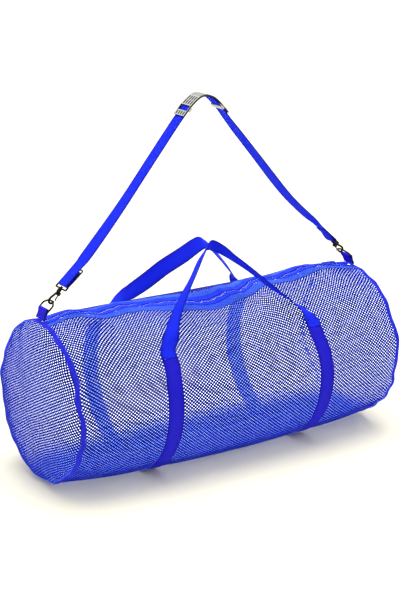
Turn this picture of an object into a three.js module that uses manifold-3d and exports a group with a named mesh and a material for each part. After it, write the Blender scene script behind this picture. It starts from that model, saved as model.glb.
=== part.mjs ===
// Mesh duffel bag: a soft round bag of net, with webbing handles, a zip and a hooked-on shoulder strap.
// Millimetres, +Z up. X runs along the bag, the front faces -Y, and the bag lies on the plane z = 0.
import * as THREE from "three";
import { mergeVertices } from "three/addons/utils/BufferGeometryUtils.js";
import Module from "manifold-3d";

const wasm = await Module();
wasm.setup();

// Driving dimensions of the bag
const SEAM_HALF = 417;
const DOME_DEPTH = 40;
const DOME_POWER = 2.1;
const RIM_RADIUS = 185;
const BELLY_RADIUS = 195;
const CENTRE_HEIGHT = 183;
const TOP_SAG = 12;
const END_LIFT = 5;
const NET_THICKNESS = 1.4;
const GAP = 0.4;

// Webbing of the bands, handles, tabs and strap
const WEBBING_WIDTH = 38;
const WEBBING_THICKNESS = 1.8;
const BAND_CENTRES = { left: -195, right: 208 };
const BAND_PINCH = 2.5;
const BAND_PINCH_REACH = 45;
const STITCH_STEP = 7;

// The net's underside lies on the bands, and the bands on the floor
const NET_BASE = WEBBING_THICKNESS + GAP;

// Zip along the top
const CHAIN_HALF = 3.2;
const CHAIN_THICKNESS = 2.6;
const TAPE_WIDTH = 14;
const TAPE_THICKNESS = 1.2;
const SLIT_HALF = CHAIN_HALF + TAPE_WIDTH + 3 * GAP;
const PUCKER_HEIGHT = 4;
const PUCKER_PITCH = 125;
const PUCKER_REACH = 45;

// Seam gathers and the tape over them
const GATHER_ALONG = 4.5;
const GATHER_OUT = 2;
const GATHER_REACH = 34;
const BINDING_HALF = 6.5;
const BINDING_THICKNESS = 2.2;

// Metal fittings
const RING_WIRE = 2;
const RING_HALF_WIDTH = 21.5;
const RING_RISE = 24;
const HOOK_WIRE = 2.5;
const EYE_WIRE = 2;
const GATE_WIRE = 1.4;

// Shoulder pad
const PAD_WIDTH = 42;
const PAD_THICKNESS = 3.2;
const PAD_LENGTH = 142;
const PAD_SHIFT = 3;
const KEEPER_THICKNESS = 2.4;

// Mesh steps
const ROUND_STEPS = 48;
const DOME_STEPS = 4;
const STATION_PITCH = 41;
const SEAM_STATION = 18;

// Where the zip wanders round the top, in degrees from the crown, front side negative
const ZIP_LINE = [
  { x: -417, angle: 0 }, { x: -345, angle: 6 }, { x: -270, angle: -1 }, { x: -175, angle: 1 },
  { x: -80, angle: -8 }, { x: 0, angle: -12 }, { x: 70, angle: -6 }, { x: 145, angle: 4 },
  { x: 260, angle: 3 }, { x: 335, angle: 6 }, { x: 417, angle: 0 },
];

// Lifts and dents of the net: centre, reach along the bag, reach round it in degrees, height
const FOLDS = [
  { x: 330, angle: 0, along: 80, around: 26, height: 13 },
  { x: -330, angle: 8, along: 40, around: 16, height: 4 },
  { x: -60, angle: -25, along: 90, around: 20, height: -4 },
  { x: 20, angle: -130, along: 140, around: 28, height: 4 },
  { x: -310, angle: -75, along: 60, around: 22, height: -5 },
  { x: 320, angle: -60, along: 50, around: 26, height: -4 },
  { x: -300, angle: 80, along: 70, around: 26, height: -4 },
  { x: 60, angle: 75, along: 120, around: 30, height: -5 },
];

// Slack of the ends: side, direction in degrees from the crown, reach round the end,
// loss of depth and loss of rim radius
const END_SLACK = [
  { side: -1, angle: 35, around: 55, depth: 15, rim: 0 },
  { side: -1, angle: 42, around: 24, depth: 0, rim: 7 },
  { side: -1, angle: -145, around: 35, depth: 0, rim: 9 },
  { side: 1, angle: -140, around: 60, depth: 12, rim: 2 },
];

// Handles: centre of the webbing and the direction of its width, from the left stitch line to the right one
const HANDLE_FRONT = [
  { at: [-170, -131, 331], across: [0.45, -0.85, 0.28] },
  { at: [-132, -100, 373], across: [0.2, -0.88, 0.42] },
  { at: [-96, -77, 405], across: [0.11, -0.85, 0.51] },
  { at: [-65, -59, 431], across: [0.02, -0.82, 0.57] },
  { at: [-29, -36, 463], across: [-0.01, -0.8, 0.6] },
  { at: [-4, -27, 482], across: [-0.1, -0.62, 0.78] },
  { at: [22, -31, 471], across: [-0.04, -0.76, 0.65] },
  { at: [48, -43, 450], across: [-0.12, -0.88, 0.46] },
  { at: [82, -62, 421], across: [-0.2, -0.9, 0.38] },
  { at: [127, -97, 376], across: [-0.28, -0.9, 0.34] },
  { at: [158, -119, 349], across: [-0.45, -0.85, 0.22] },
  { at: [182, -138, 324], across: [-0.8, -0.55, 0.15] },
];
const HANDLE_BACK = [
  { at: [-153, 130, 334], across: [0.45, 0.82, 0.38] },
  { at: [-131, 104, 362], across: [-0.05, 0.77, 0.63] },
  { at: [-103, 83, 388], across: [-0.2, 0.64, 0.74] },
  { at: [-71, 60, 420], across: [-0.23, 0.61, 0.76] },
  { at: [-28, 45, 447], across: [-0.2, 0.64, 0.74] },
  { at: [-2, 38, 464], across: [-0.07, 0.73, 0.68] },
  { at: [16, 36, 471], across: [0.04, 0.82, 0.57] },
  { at: [36, 41, 461], across: [0.14, 0.88, 0.43] },
  { at: [68, 55, 434], across: [0.31, 0.9, 0.31] },
  { at: [116, 85, 391], across: [0.3, 0.9, 0.31] },
  { at: [158, 115, 352], across: [0.2, 0.93, 0.31] },
  { at: [184, 138, 324], across: [-0.5, 0.82, 0.27] },
];
const HANDLE_STEPS = 40;

// Strap: its line in the plane y = 0 between the two eyes
const STRAP_LINE = [
  { x: -220, z: 585 }, { x: -130, z: 694 }, { x: -65, z: 772 }, { x: -38, z: 800 }, { x: -14, z: 814 },
  { x: 10, z: 809 }, { x: 36, z: 786 }, { x: 64, z: 752 }, { x: 136, z: 667 }, { x: 231, z: 557 },
];
// How far the strap turns from lying flat across the bag, in degrees
const STRAP_TWIST = [
  { x: -322, angle: 0 }, { x: -300, angle: 6 }, { x: -170, angle: 0 }, { x: 42, angle: 0 },
  { x: 95, angle: 6 }, { x: 200, angle: 9 }, { x: 292, angle: 10.5 }, { x: 320, angle: 0 },
];
const STRAP_STEPS = 51;

// Where the ring's wire crosses the tab and the hook, on the left side
const RING_FOOT = new THREE.Vector3(-405.6, 0, 393.6);
const RING_TOP = new THREE.Vector3(-388, 0, 409.6);
const EYE_BAR_AT = 44;

const RAD = Math.PI / 180;
const ACROSS_BAG = new THREE.Vector3(0, 1, 0);

const COLOURS = {
  net: { color: 0x2030d8, roughness: 0.6, metalness: 0 },
  webbing: { color: 0x1f2ae6, roughness: 0.7, metalness: 0 },
  zip: { color: 0x1c2bc8, roughness: 0.65, metalness: 0 },
  metal: { color: 0x1d1d20, roughness: 0.3, metalness: 1 },
  plastic: { color: 0x101012, roughness: 0.45, metalness: 0 },
  pad: { color: 0x2b2c2e, roughness: 0.5, metalness: 0 },
};

// Solids from closed triangle lists

function closedGeometry(points, faces) {
  const raw = new THREE.BufferGeometry();
  raw.setAttribute("position", new THREE.Float32BufferAttribute(points.flatMap((p) => [p.x, p.y, p.z]), 3));
  raw.setIndex(faces.flat());
  const merged = mergeVertices(raw, 1e-3);
  const index = Array.from(merged.index.array);
  const kept = [];
  for (let i = 0; i < index.length; i += 3) {
    const [a, b, c] = index.slice(i, i + 3);
    if (a !== b && b !== c && c !== a) kept.push(a, b, c);
  }
  merged.setIndex(signedVolume(merged, kept) < 0 ? kept.reverse() : kept);
  return merged;
}

function signedVolume(geometry, index) {
  const position = geometry.attributes.position;
  const [a, b, c] = [new THREE.Vector3(), new THREE.Vector3(), new THREE.Vector3()];
  let volume = 0;
  for (let i = 0; i < index.length; i += 3) {
    a.fromBufferAttribute(position, index[i]);
    b.fromBufferAttribute(position, index[i + 1]);
    c.fromBufferAttribute(position, index[i + 2]);
    volume += a.dot(b.cross(c)) / 6;
  }
  return volume;
}

// A wall between an outer and an inner grid; at(i, j, outer) gives a grid point
function wall(rows, columns, at, wraps = false) {
  const points = [];
  for (const outer of [true, false]) {
    for (let i = 0; i <= rows; i++) {
      for (let j = 0; j <= columns; j++) points.push(at(i, j, outer));
    }
  }
  const id = (i, j, outer) => (outer ? 0 : (rows + 1) * (columns + 1)) + i * (columns + 1) + j;
  const faces = [];
  const quad = (a, b, c, d) => faces.push([a, b, c], [a, c, d]);
  for (let i = 0; i < rows; i++) {
    for (let j = 0; j < columns; j++) {
      quad(id(i, j, true), id(i, j + 1, true), id(i + 1, j + 1, true), id(i + 1, j, true));
      quad(id(i, j, false), id(i + 1, j, false), id(i + 1, j + 1, false), id(i, j + 1, false));
    }
    if (wraps) continue;
    quad(id(i, 0, true), id(i + 1, 0, true), id(i + 1, 0, false), id(i, 0, false));
    quad(id(i, columns, true), id(i, columns, false), id(i + 1, columns, false), id(i + 1, columns, true));
  }
  for (let j = 0; j < columns; j++) {
    quad(id(0, j, true), id(0, j, false), id(0, j + 1, false), id(0, j + 1, true));
    quad(id(rows, j, true), id(rows, j + 1, true), id(rows, j + 1, false), id(rows, j, false));
  }
  return closedGeometry(points, faces);
}

// Sections of equal count joined in order, with flat ends, or closed into a ring
function loft(sections, ring = false) {
  const sides = sections[0].length;
  const faces = [];
  const last = ring ? sections.length : sections.length - 1;
  for (let i = 0; i < last; i++) {
    const next = (i + 1) % sections.length;
    for (let j = 0; j < sides; j++) {
      const k = (j + 1) % sides;
      faces.push([i * sides + j, i * sides + k, next * sides + k]);
      faces.push([i * sides + j, next * sides + k, next * sides + j]);
    }
  }
  if (!ring) {
    const end = (sections.length - 1) * sides;
    for (let j = 1; j < sides - 1; j++) faces.push([0, j + 1, j], [end, end + j, end + j + 1]);
  }
  return closedGeometry(sections.flat(), faces);
}

// Tangents of a line of points, for an open line or a ring
function tangents(points, ring = false) {
  const count = points.length;
  return points.map((_, i) => {
    const before = ring ? points[(i + count - 1) % count] : points[Math.max(i - 1, 0)];
    const after = ring ? points[(i + 1) % count] : points[Math.min(i + 1, count - 1)];
    return after.clone().sub(before).normalize();
  });
}

// Flat webbing along a line of points, with the direction of its width at each point
function ribbon(points, across, width = WEBBING_WIDTH, thickness = WEBBING_THICKNESS) {
  const along = tangents(points);
  const facing = along.map((direction, i) => direction.clone().cross(across[i]).normalize());
  return wall(points.length - 1, 1, (i, j, outer) => points[i].clone()
    .addScaledVector(across[i], j === 0 ? width / 2 : -width / 2)
    .addScaledVector(facing[i], outer ? thickness / 2 : -thickness / 2));
}

// Round wire along a line that lies in a plane with the given normal
function wire(points, planeNormal, radius, sides, ring = false) {
  const along = tangents(points, ring);
  return loft(points.map((p, i) => {
    const inward = along[i].clone().cross(planeNormal).normalize();
    return Array.from({ length: sides }, (_, k) => {
      const angle = ((k + 0.5) / sides) * 2 * Math.PI;
      return p.clone().addScaledVector(inward, radius * Math.cos(angle))
        .addScaledVector(planeNormal, radius * Math.sin(angle));
    });
  }), ring);
}

// Corners of a flat outline rounded into short arcs
function roundedLine(corners, radius, steps, ring = false) {
  const points = [];
  corners.forEach((corner, i) => {
    if (!ring && (i === 0 || i === corners.length - 1)) {
      points.push(corner.clone());
      return;
    }
    const before = corners[(i + corners.length - 1) % corners.length];
    const after = corners[(i + 1) % corners.length];
    const start = corner.clone().add(before.clone().sub(corner).setLength(radius));
    const end = corner.clone().add(after.clone().sub(corner).setLength(radius));
    const bend = new THREE.QuadraticBezierCurve3(start, corner, end);
    points.push(...bend.getPoints(steps));
  });
  return points;
}

function asManifold(geometry) {
  const bare = geometry.clone();
  bare.deleteAttribute("normal");
  bare.deleteAttribute("uv");
  const merged = mergeVertices(bare, 1e-3);
  return new wasm.Manifold(new wasm.Mesh({
    numProp: 3,
    vertProperties: new Float32Array(merged.attributes.position.array),
    triVerts: new Uint32Array(merged.index.array),
  }));
}

function fromManifold(manifold) {
  const mesh = manifold.getMesh();
  const geometry = new THREE.BufferGeometry();
  geometry.setAttribute("position", new THREE.BufferAttribute(new Float32Array(mesh.vertProperties), 3));
  geometry.setIndex(Array.from(mesh.triVerts));
  return geometry;
}

function join(...geometries) {
  return fromManifold(geometries.map(asManifold).reduce((a, b) => a.add(b)));
}

function cut(geometry, ...cutters) {
  return fromManifold(cutters.map(asManifold).reduce((a, b) => a.subtract(b), asManifold(geometry)));
}

// Moves a geometry by a matrix, and turns its faces back out where the matrix mirrors it
function moved(geometry, matrix) {
  const copy = geometry.clone().applyMatrix4(matrix);
  if (matrix.determinant() < 0) copy.setIndex(Array.from(copy.index.array).reverse());
  return copy;
}

// A geometry made about its own axes, put at an origin with its axes along three directions
function placed(geometry, xAxis, yAxis, zAxis, origin) {
  return moved(geometry, new THREE.Matrix4().makeBasis(xAxis, yAxis, zAxis).setPosition(origin));
}

// The bag's surface

// Value of a table at x, eased between its rows
function eased(table, x, column) {
  const last = table.length - 1;
  if (x <= table[0].x) return table[0][column];
  if (x >= table[last].x) return table[last][column];
  const i = table.findIndex((row) => row.x > x) - 1;
  const t = THREE.MathUtils.smoothstep(x, table[i].x, table[i + 1].x);
  return THREE.MathUtils.lerp(table[i][column], table[i + 1][column], t);
}

const zipAngle = (x) => eased(ZIP_LINE, x, "angle") * RAD;

// Angle folded into the half turn either side of the crown
const folded = (angle) => Math.atan2(Math.sin(angle), Math.cos(angle));

// Gathers of the seam: a lazy uneven wave that leaves the crown smooth for the tab
function gather(angle, phase) {
  const calm = 1 - Math.exp(-((folded(angle) / 0.4) ** 2));
  return calm * (0.6 * Math.sin(9 * angle + phase) + 0.4 * Math.sin(5 * angle + 2 * phase));
}

const seamWeight = (distance) => Math.exp(-distance / GATHER_REACH);

// Total of a column of the ends' slack at an angle
function slack(side, angle, column) {
  return END_SLACK.filter((row) => row.side === side).reduce((sum, row) => {
    const away = folded(angle - row.angle * RAD) / (row.around * RAD);
    return sum + row[column] * Math.exp(-away * away);
  }, 0);
}

// Radius of a seam, which hangs a little clear of the floor
function rimRadius(side, angle) {
  const lift = END_LIFT * Math.max(-Math.cos(angle), 0);
  return RIM_RADIUS - lift - slack(side, angle, "rim");
}

// Distance of the net from the bag's axis
function bodyRadius(x, angle) {
  const t = Math.abs(x) / SEAM_HALF;
  const crown = Math.max(Math.cos(angle), 0);
  let radius = RIM_RADIUS + (BELLY_RADIUS - RIM_RADIUS) * (1 - t ** 3);
  radius -= TOP_SAG * (1 - t * t) * crown * crown;
  radius -= (RIM_RADIUS - rimRadius(Math.sign(x), angle)) * t ** 4;
  for (const fold of FOLDS) {
    const dx = (x - fold.x) / fold.along;
    const da = folded(angle - fold.angle * RAD) / (fold.around * RAD);
    radius += fold.height * Math.exp(-dx * dx - da * da) * (1 - t ** 6);
  }
  for (const centre of Object.values(BAND_CENTRES)) {
    radius -= BAND_PINCH * Math.exp(-(((x - centre) / BAND_PINCH_REACH) ** 2)) * (1 - crown);
  }
  const fromZip = (folded(angle - zipAngle(x)) * RIM_RADIUS) / PUCKER_REACH;
  const pucker = Math.sin((2 * Math.PI * x) / PUCKER_PITCH) * Math.exp(-fromZip * fromZip);
  radius += PUCKER_HEIGHT * pucker * (1 - t ** 4);
  return radius + GATHER_OUT * gather(angle, 2.2) * seamWeight(SEAM_HALF - Math.abs(x));
}

// A point of the net's outer face, moved out by offset; the underside is pressed flat
function roundPoint(x, radius, angle, offset) {
  const z = CENTRE_HEIGHT + radius * Math.cos(angle);
  return new THREE.Vector3(x, radius * Math.sin(angle), Math.max(z, NET_BASE - offset));
}

function bodyPoint(x, angle, offset) {
  const shift = Math.sign(x) * GATHER_ALONG * gather(angle, 0.8) * seamWeight(SEAM_HALF - Math.abs(x));
  return roundPoint(x + shift, bodyRadius(x, angle) + offset, angle, offset);
}

// A point of a puffed end: turn goes from 0 at the seam to a right angle at the middle
function domePoint(side, turn, angle, offset) {
  const rise = Math.sin(turn) ** (2 / DOME_POWER);
  const spread = Math.cos(turn) ** (2 / DOME_POWER);
  const depth = DOME_DEPTH - slack(side, angle, "depth") * spread;
  const rim = rimRadius(side, angle);
  const distance = depth * rise + rim * (1 - spread);
  const wave = spread * seamWeight(distance);
  const slope = DOME_POWER - 1;
  const normal = new THREE.Vector2(rise ** slope / depth, spread ** slope / rim).normalize();
  const x = SEAM_HALF + depth * rise + GATHER_ALONG * gather(angle, 0.8) * wave + offset * normal.x;
  const radius = rim * spread + GATHER_OUT * gather(angle, 2.2) * wave + offset * normal.y;
  return roundPoint(side * x, Math.max(radius, 0), angle, offset);
}

// Angles round the net from the front edge of the zip, under the bag, to its back edge
function netAngle(x, step) {
  const slit = SLIT_HALF / RIM_RADIUS;
  const v = step / ROUND_STEPS;
  return -(slit + v * 2 * (Math.PI - slit)) + zipAngle(x) * Math.abs(2 * v - 1) ** 3;
}

// The same angles for a whole turn at a seam, with one more at the crown
const roundSteps = [...Array(ROUND_STEPS + 1).keys()];
const seamAngles = roundSteps.map((step) => netAngle(SEAM_HALF, step)).concat(-2 * Math.PI);

// Stations along the tube: its ends, the edges of the bands, and even steps between these
function netStations() {
  const half = WEBBING_WIDTH / 2;
  const bandEdges = Object.values(BAND_CENTRES).flatMap((centre) => [centre - half, centre + half]);
  const ends = [SEAM_HALF - GAP, SEAM_HALF - SEAM_STATION].flatMap((x) => [-x, x]);
  const landmarks = [...ends, ...bandEdges].sort((a, b) => a - b);
  return landmarks.flatMap((x, i) => {
    const before = landmarks[Math.max(i - 1, 0)];
    const steps = Math.round((x - before) / STATION_PITCH) || 1;
    return [...Array(steps).keys()].map((k) => x - ((x - before) * (steps - 1 - k)) / steps);
  });
}

const stations = netStations();

function bodyPanel() {
  return wall(stations.length - 1, ROUND_STEPS, (i, j, outer) =>
    bodyPoint(stations[i], netAngle(stations[i], j), outer ? 0 : -NET_THICKNESS));
}

function endPanel(side) {
  const columns = seamAngles.length;
  const start = 2 * GAP / DOME_DEPTH;
  return wall(DOME_STEPS, columns, (i, j, outer) => {
    const turn = i === DOME_STEPS ? Math.PI / 2 : start + (Math.PI / 2 - start) * (i / DOME_STEPS) ** 1.5;
    return domePoint(side, turn, seamAngles[j % columns], outer ? 0 : -NET_THICKNESS);
  }, true);
}

// Tape over a seam: its section rides from the tube over to the end
function rimBinding(side) {
  const low = GAP;
  const high = GAP + BINDING_THICKNESS;
  const section = [
    { along: -BINDING_HALF, offset: low }, { along: -BINDING_HALF, offset: low + 0.6 * BINDING_THICKNESS },
    { along: 0, offset: high }, { along: BINDING_HALF, offset: high },
    { along: BINDING_HALF, offset: 2.5 * low }, { along: 0, offset: 1.5 * low },
  ];
  return loft(seamAngles.map((angle) => section.map(({ along, offset }) => {
    const capped = Math.min(offset, NET_BASE);
    if (along <= 0) return bodyPoint(side * (SEAM_HALF + along), angle, capped);
    const turn = Math.asin((along / DOME_DEPTH) ** (DOME_POWER / 2));
    return domePoint(side, turn, angle, capped);
  })), true);
}

// A point of the zip at a distance from its middle line, on the straight run between two stations
function zipPoint(x, out, offset) {
  const i = Math.max(stations.findIndex((station) => station >= x), 1);
  const [from, to] = stations.slice(i - 1, i + 1);
  const beside = (station) => bodyPoint(station, zipAngle(station) + out / RIM_RADIUS, offset);
  return beside(from).lerp(beside(to), (x - from) / (to - from));
}

// Zip pieces lie along the slit, between two distances from its middle line
function zipStrip(inset, from, to, bottom, top) {
  const edge = stations[stations.length - 1] - inset;
  const places = stations.map((x) => THREE.MathUtils.clamp(x, -edge, edge));
  return wall(places.length - 1, 1, (i, j, outer) =>
    zipPoint(places[i], j === 0 ? from : to, outer ? top : bottom));
}

// Slider at the right end of the closed zip: a small body with a flat pull lying along the chain
function zipSlider() {
  const x = 372;
  const lift = CHAIN_THICKNESS - TAPE_THICKNESS + GAP;
  const at = zipPoint(x, 0, 0);
  const ahead = zipPoint(x - 12, 0, 0);
  const along = ahead.clone().sub(at).normalize();
  const across = ACROSS_BAG.clone().addScaledVector(along, -along.y).normalize();
  const out = along.clone().cross(across);
  if (out.z < 0) out.negate();
  const side = out.clone().cross(along);
  const body = new THREE.BoxGeometry(13, 9, 3.4);
  const pull = new THREE.BoxGeometry(26, 7, 1.4);
  pull.translate(14, 0, 1.4);
  return placed(join(body, pull), along, side, out, at.clone().addScaledVector(out, lift + 3.2));
}

// Band round the belly, on the same steps as the net under it
function girthBand(centre) {
  const steps = ROUND_STEPS - 2 * STITCH_STEP;
  const half = WEBBING_WIDTH / 2;
  return wall(steps, 1, (i, j, outer) => {
    const x = centre + (j === 0 ? -half : half);
    const offset = outer ? GAP + WEBBING_THICKNESS : GAP;
    return bodyPoint(x, netAngle(x, STITCH_STEP + i), offset);
  });
}

// A point of webbing moved out until both of its edges lie clear of the net
function clearOfNet(point, across) {
  const depths = [-1, 0, 1].map((k) => {
    const edge = point.clone().addScaledVector(across, (k * WEBBING_WIDTH) / 2);
    const height = edge.z - CENTRE_HEIGHT;
    return bodyRadius(edge.x, Math.atan2(edge.y, height)) - Math.hypot(edge.y, height);
  });
  const push = Math.max(...depths) + WEBBING_THICKNESS / 2 + 3 * GAP;
  const outward = new THREE.Vector3(0, point.y, point.z - CENTRE_HEIGHT).normalize();
  return point.addScaledVector(outward, Math.max(push, 0));
}

// Free part of a handle, from one stitch line over the top to the other
function handle(table, back) {
  const first = back ? ROUND_STEPS - STITCH_STEP : STITCH_STEP;
  const outward = back ? 1 : -1;
  const offset = GAP + WEBBING_THICKNESS / 2;
  const foot = (centre, lead) => {
    const here = bodyPoint(centre, netAngle(centre, first), offset);
    const above = bodyPoint(centre, netAngle(centre, first + outward), offset);
    return here.lerp(above, lead);
  };
  const leftAcross = new THREE.Vector3(1, 0, 0);
  const rightAcross = new THREE.Vector3(-1, 0, 0);
  const leads = [0.07, 0.5];
  const places = [
    ...leads.map((lead) => foot(BAND_CENTRES.left, lead)),
    ...table.map((row) => new THREE.Vector3(...row.at)),
    ...leads.toReversed().map((lead) => foot(BAND_CENTRES.right, lead)),
  ];
  const widths = [
    ...leads.map(() => leftAcross),
    ...table.map((row) => new THREE.Vector3(...row.across)),
    ...leads.map(() => rightAcross),
  ];
  const line = new THREE.CatmullRomCurve3(places, false, "centripetal");
  const turnLine = new THREE.CatmullRomCurve3(widths, false, "centripetal");
  const samples = [...Array(HANDLE_STEPS + 1).keys()].map((i) => i / HANDLE_STEPS);
  const across = samples.map((t) => turnLine.getPoint(t).normalize());
  return ribbon(samples.map((t, i) => clearOfNet(line.getPoint(t), across[i])), across);
}

// Fittings at one end: side is -1 at the left and 1 at the right, and each is drawn for the left
// and mirrored for the right
const mirrored = (side, v) => new THREE.Vector3(side < 0 ? v.x : -v.x, v.y, v.z);
const ringAxis = RING_TOP.clone().sub(RING_FOOT).normalize();
const hookAxis = new THREE.Vector3(0.72, 0, 0.695).normalize();
const hookSide = new THREE.Vector3(hookAxis.z, 0, -hookAxis.x);

// Half turn of webbing round a bar, from one side of the bar over its far side
function turnRound(bar, direction, radius, steps) {
  const sideways = new THREE.Vector3(direction.z, 0, -direction.x);
  return [...Array(steps + 1).keys()].map((i) => {
    const angle = -Math.PI / 2 + (Math.PI * i) / steps;
    return bar.clone().addScaledVector(direction, radius * Math.cos(angle))
      .addScaledVector(sideways, radius * Math.sin(angle));
  });
}

const loopRadius = (barRadius) => barRadius + GAP + WEBBING_THICKNESS / 2;

// Folded tab: up from the seam, round the ring's bar and down again
function ringTab(side) {
  const rise = new THREE.Vector3(0.42, 0, 0.91).normalize();
  const sideways = new THREE.Vector3(rise.z, 0, -rise.x);
  const bend = turnRound(RING_FOOT, rise, loopRadius(RING_WIRE), 6);
  const apart = WEBBING_THICKNESS / 2 + GAP / 2;
  const foot = RING_FOOT.clone().addScaledVector(rise, -22);
  const waist = RING_FOOT.clone().addScaledVector(rise, -9);
  const left = [foot, waist].map((p) => p.clone().addScaledVector(sideways, -apart));
  const right = [waist, foot].map((p) => p.clone().addScaledVector(sideways, apart));
  const points = [...left, ...bend, ...right].map((p) => mirrored(side, p));
  return ribbon(points, points.map(() => ACROSS_BAG));
}

// Six-sided wire ring: a bar in the tab, straight sides and a narrower top
function dRing(side) {
  const across = RING_HALF_WIDTH;
  const corners = [[-across, 0], [across, 0], [across, 15], [9, RING_RISE], [-9, RING_RISE], [-across, 15]];
  const points = corners.map(([y, r]) => RING_FOOT.clone().addScaledVector(ringAxis, r).setY(y));
  const line = roundedLine(points, 4, 2, true).map((p) => mirrored(side, p));
  const normal = mirrored(side, ringAxis.clone().cross(ACROSS_BAG)).normalize();
  return wire(line, normal, RING_WIRE, 6, true);
}

// Point of a hook: up along its axis from the ring's wire, and sideways towards the gate
function hookPoint(up, sideways) {
  return RING_TOP.clone().addScaledVector(hookAxis, up).addScaledVector(hookSide, sideways);
}

const PIVOT = { up: 20.5, sideways: 5.2 };
const BOSS = { bottom: 23.5, top: 31, radius: 4.6 };

function upright(radius, height, sides, up) {
  const rod = new THREE.CylinderGeometry(radius, radius, height, sides);
  return placed(rod, hookSide, hookAxis, ACROSS_BAG, hookPoint(up, 0));
}

// Hook: a bent bar, the swivel boss with two ears for the gate, and the stud through the eye
function hookBody(side) {
  const bend = [...Array(8).keys()].map((i) => {
    const angle = Math.PI * (1 + i / 7);
    return hookPoint(6.2 * Math.sin(angle) + 0.8, 6.2 * Math.cos(angle) + 0.6);
  });
  const bar = wire([hookPoint(BOSS.bottom + 2, -0.4), hookPoint(12, -3.6), ...bend, hookPoint(3.6, 6.8)],
    ACROSS_BAG, HOOK_WIRE, 8);
  const boss = upright(BOSS.radius, BOSS.top - BOSS.bottom, 10, (BOSS.top + BOSS.bottom) / 2);
  const stud = upright(2, 9, 8, BOSS.top + 2.5);
  const head = upright(3.3, 1.6, 8, BOSS.top + 6.6);
  const ears = [-1, 1].map((y) => {
    const ear = new THREE.BoxGeometry(6.4, 8.4, 1.4);
    return placed(ear, hookSide, hookAxis, ACROSS_BAG, hookPoint(PIVOT.up + 1, 4.2).setY(y * 3.5));
  });
  return sided(join(bar, boss, stud, head, ...ears), side);
}

// Gate lever: a knuckle between the ears, a thin bar down to the hook's tip and a thumb nub on it
function hookGate(side) {
  const pin = new THREE.CylinderGeometry(2.1, 2.1, 5, 8);
  const knuckle = placed(pin, hookAxis, ACROSS_BAG, hookSide, hookPoint(PIVOT.up, PIVOT.sideways));
  const lever = wire([hookPoint(PIVOT.up, PIVOT.sideways), hookPoint(6.4, 7.2)], ACROSS_BAG, GATE_WIRE, 6);
  const nub = wire([hookPoint(8.4, 6.8), hookPoint(6.9, 10.2)], ACROSS_BAG, 1.5, 6);
  return sided(join(knuckle, lever, nub), side);
}

// Strap eye: a flat four-cornered wire loop with a collar that turns on the stud
function hookEye(side) {
  const low = BOSS.top + GAP + 2.2;
  const half = WEBBING_WIDTH / 2 + EYE_WIRE + 1.4;
  const corners = [[-half, low], [half, low], [half - 1, EYE_BAR_AT], [-half + 1, EYE_BAR_AT]];
  const line = roundedLine(corners.map(([y, up]) => hookPoint(up, 0).setY(y)), 3, 2, true);
  const loop = wire(line, hookSide, EYE_WIRE, 6, true);
  const collar = upright(5, 4.4, 10, low);
  const bore = upright(2.5, 12, 8, low);
  return sided(cut(join(loop, collar), bore), side);
}

// A solid drawn for the left end, or its mirror image at the right end
function sided(geometry, side) {
  return side < 0 ? geometry : moved(geometry, new THREE.Matrix4().makeScale(-1, 1, 1));
}

// Shoulder strap

const eyeBar = (side) => mirrored(side, hookPoint(EYE_BAR_AT, 0));
const strapLeave = new THREE.Vector3(0.749, 0, 0.663).normalize();
const SLIDE = { up: 36, barHalf: 2.5, slot: 6, rim: 3.5, thickness: 3, length: 47 };
const slideInward = new THREE.Vector3(strapLeave.z, 0, -strapLeave.x);

// Point of the strap's left end: up along the strap from the eye's bar, and inwards from its outer layer
function endPoint(up, inward) {
  const start = eyeBar(-1).addScaledVector(slideInward, -loopRadius(EYE_WIRE));
  return start.addScaledVector(strapLeave, up).addScaledVector(slideInward, inward);
}

const slideInset = WEBBING_THICKNESS / 2 + GAP + WEBBING_THICKNESS + GAP + SLIDE.thickness / 2;

// The strap's run between its ends, smooth through its table
const STRAIGHT_END = [0, 24, 50, 62];
const strapCurve = new THREE.CatmullRomCurve3([
  ...STRAIGHT_END.map((up) => endPoint(up, 0)),
  ...STRAP_LINE.map(({ x, z }) => new THREE.Vector3(x, 0, z)),
  ...STRAIGHT_END.toReversed().map((up) => mirrored(1, endPoint(up, 0))),
], false, "centripetal");

function shoulderStrap() {
  const layer = SLIDE.thickness / 2 + GAP + WEBBING_THICKNESS / 2;
  const roundBar = [...Array(7).keys()].map((i) => {
    const angle = (-90 + 30 * i) * RAD;
    return endPoint(SLIDE.up + 1.4 + layer * Math.cos(angle), slideInset + layer * Math.sin(angle));
  });
  const tucked = endPoint(SLIDE.up - 8, slideInset - layer);
  const back = endPoint(SLIDE.up - 13, slideInset + layer);
  const leftTurn = turnRound(eyeBar(-1), strapLeave.clone().negate(), loopRadius(EYE_WIRE), 6).reverse();
  const rightLeave = mirrored(1, strapLeave);
  const rightTurn = turnRound(eyeBar(1), rightLeave.clone().negate(), loopRadius(EYE_WIRE), 6).reverse();
  const run = strapCurve.getPoints(STRAP_STEPS).slice(1, -1);
  const tuck = WEBBING_THICKNESS + GAP;
  const sewn = [[20, tuck], [40, tuck]].map(([up, inward]) => mirrored(1, endPoint(up, inward)));
  const points = [tucked, ...roundBar, back, ...orient(leftTurn, back), ...run,
    ...orient(rightTurn, run[run.length - 1]), ...sewn];
  const across = points.map((p) => {
    const twist = eased(STRAP_TWIST, p.x, "angle") * RAD;
    const lean = Math.sin(twist);
    return new THREE.Vector3(-lean * 0.75, Math.cos(twist), -Math.sign(p.x) * lean * 0.66).normalize();
  });
  return ribbon(points, across);
}

// A turn listed from the end that is nearer to a point
function orient(points, from) {
  const near = points[0].distanceTo(from) < points[points.length - 1].distanceTo(from);
  return near ? points : points.toReversed();
}

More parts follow.
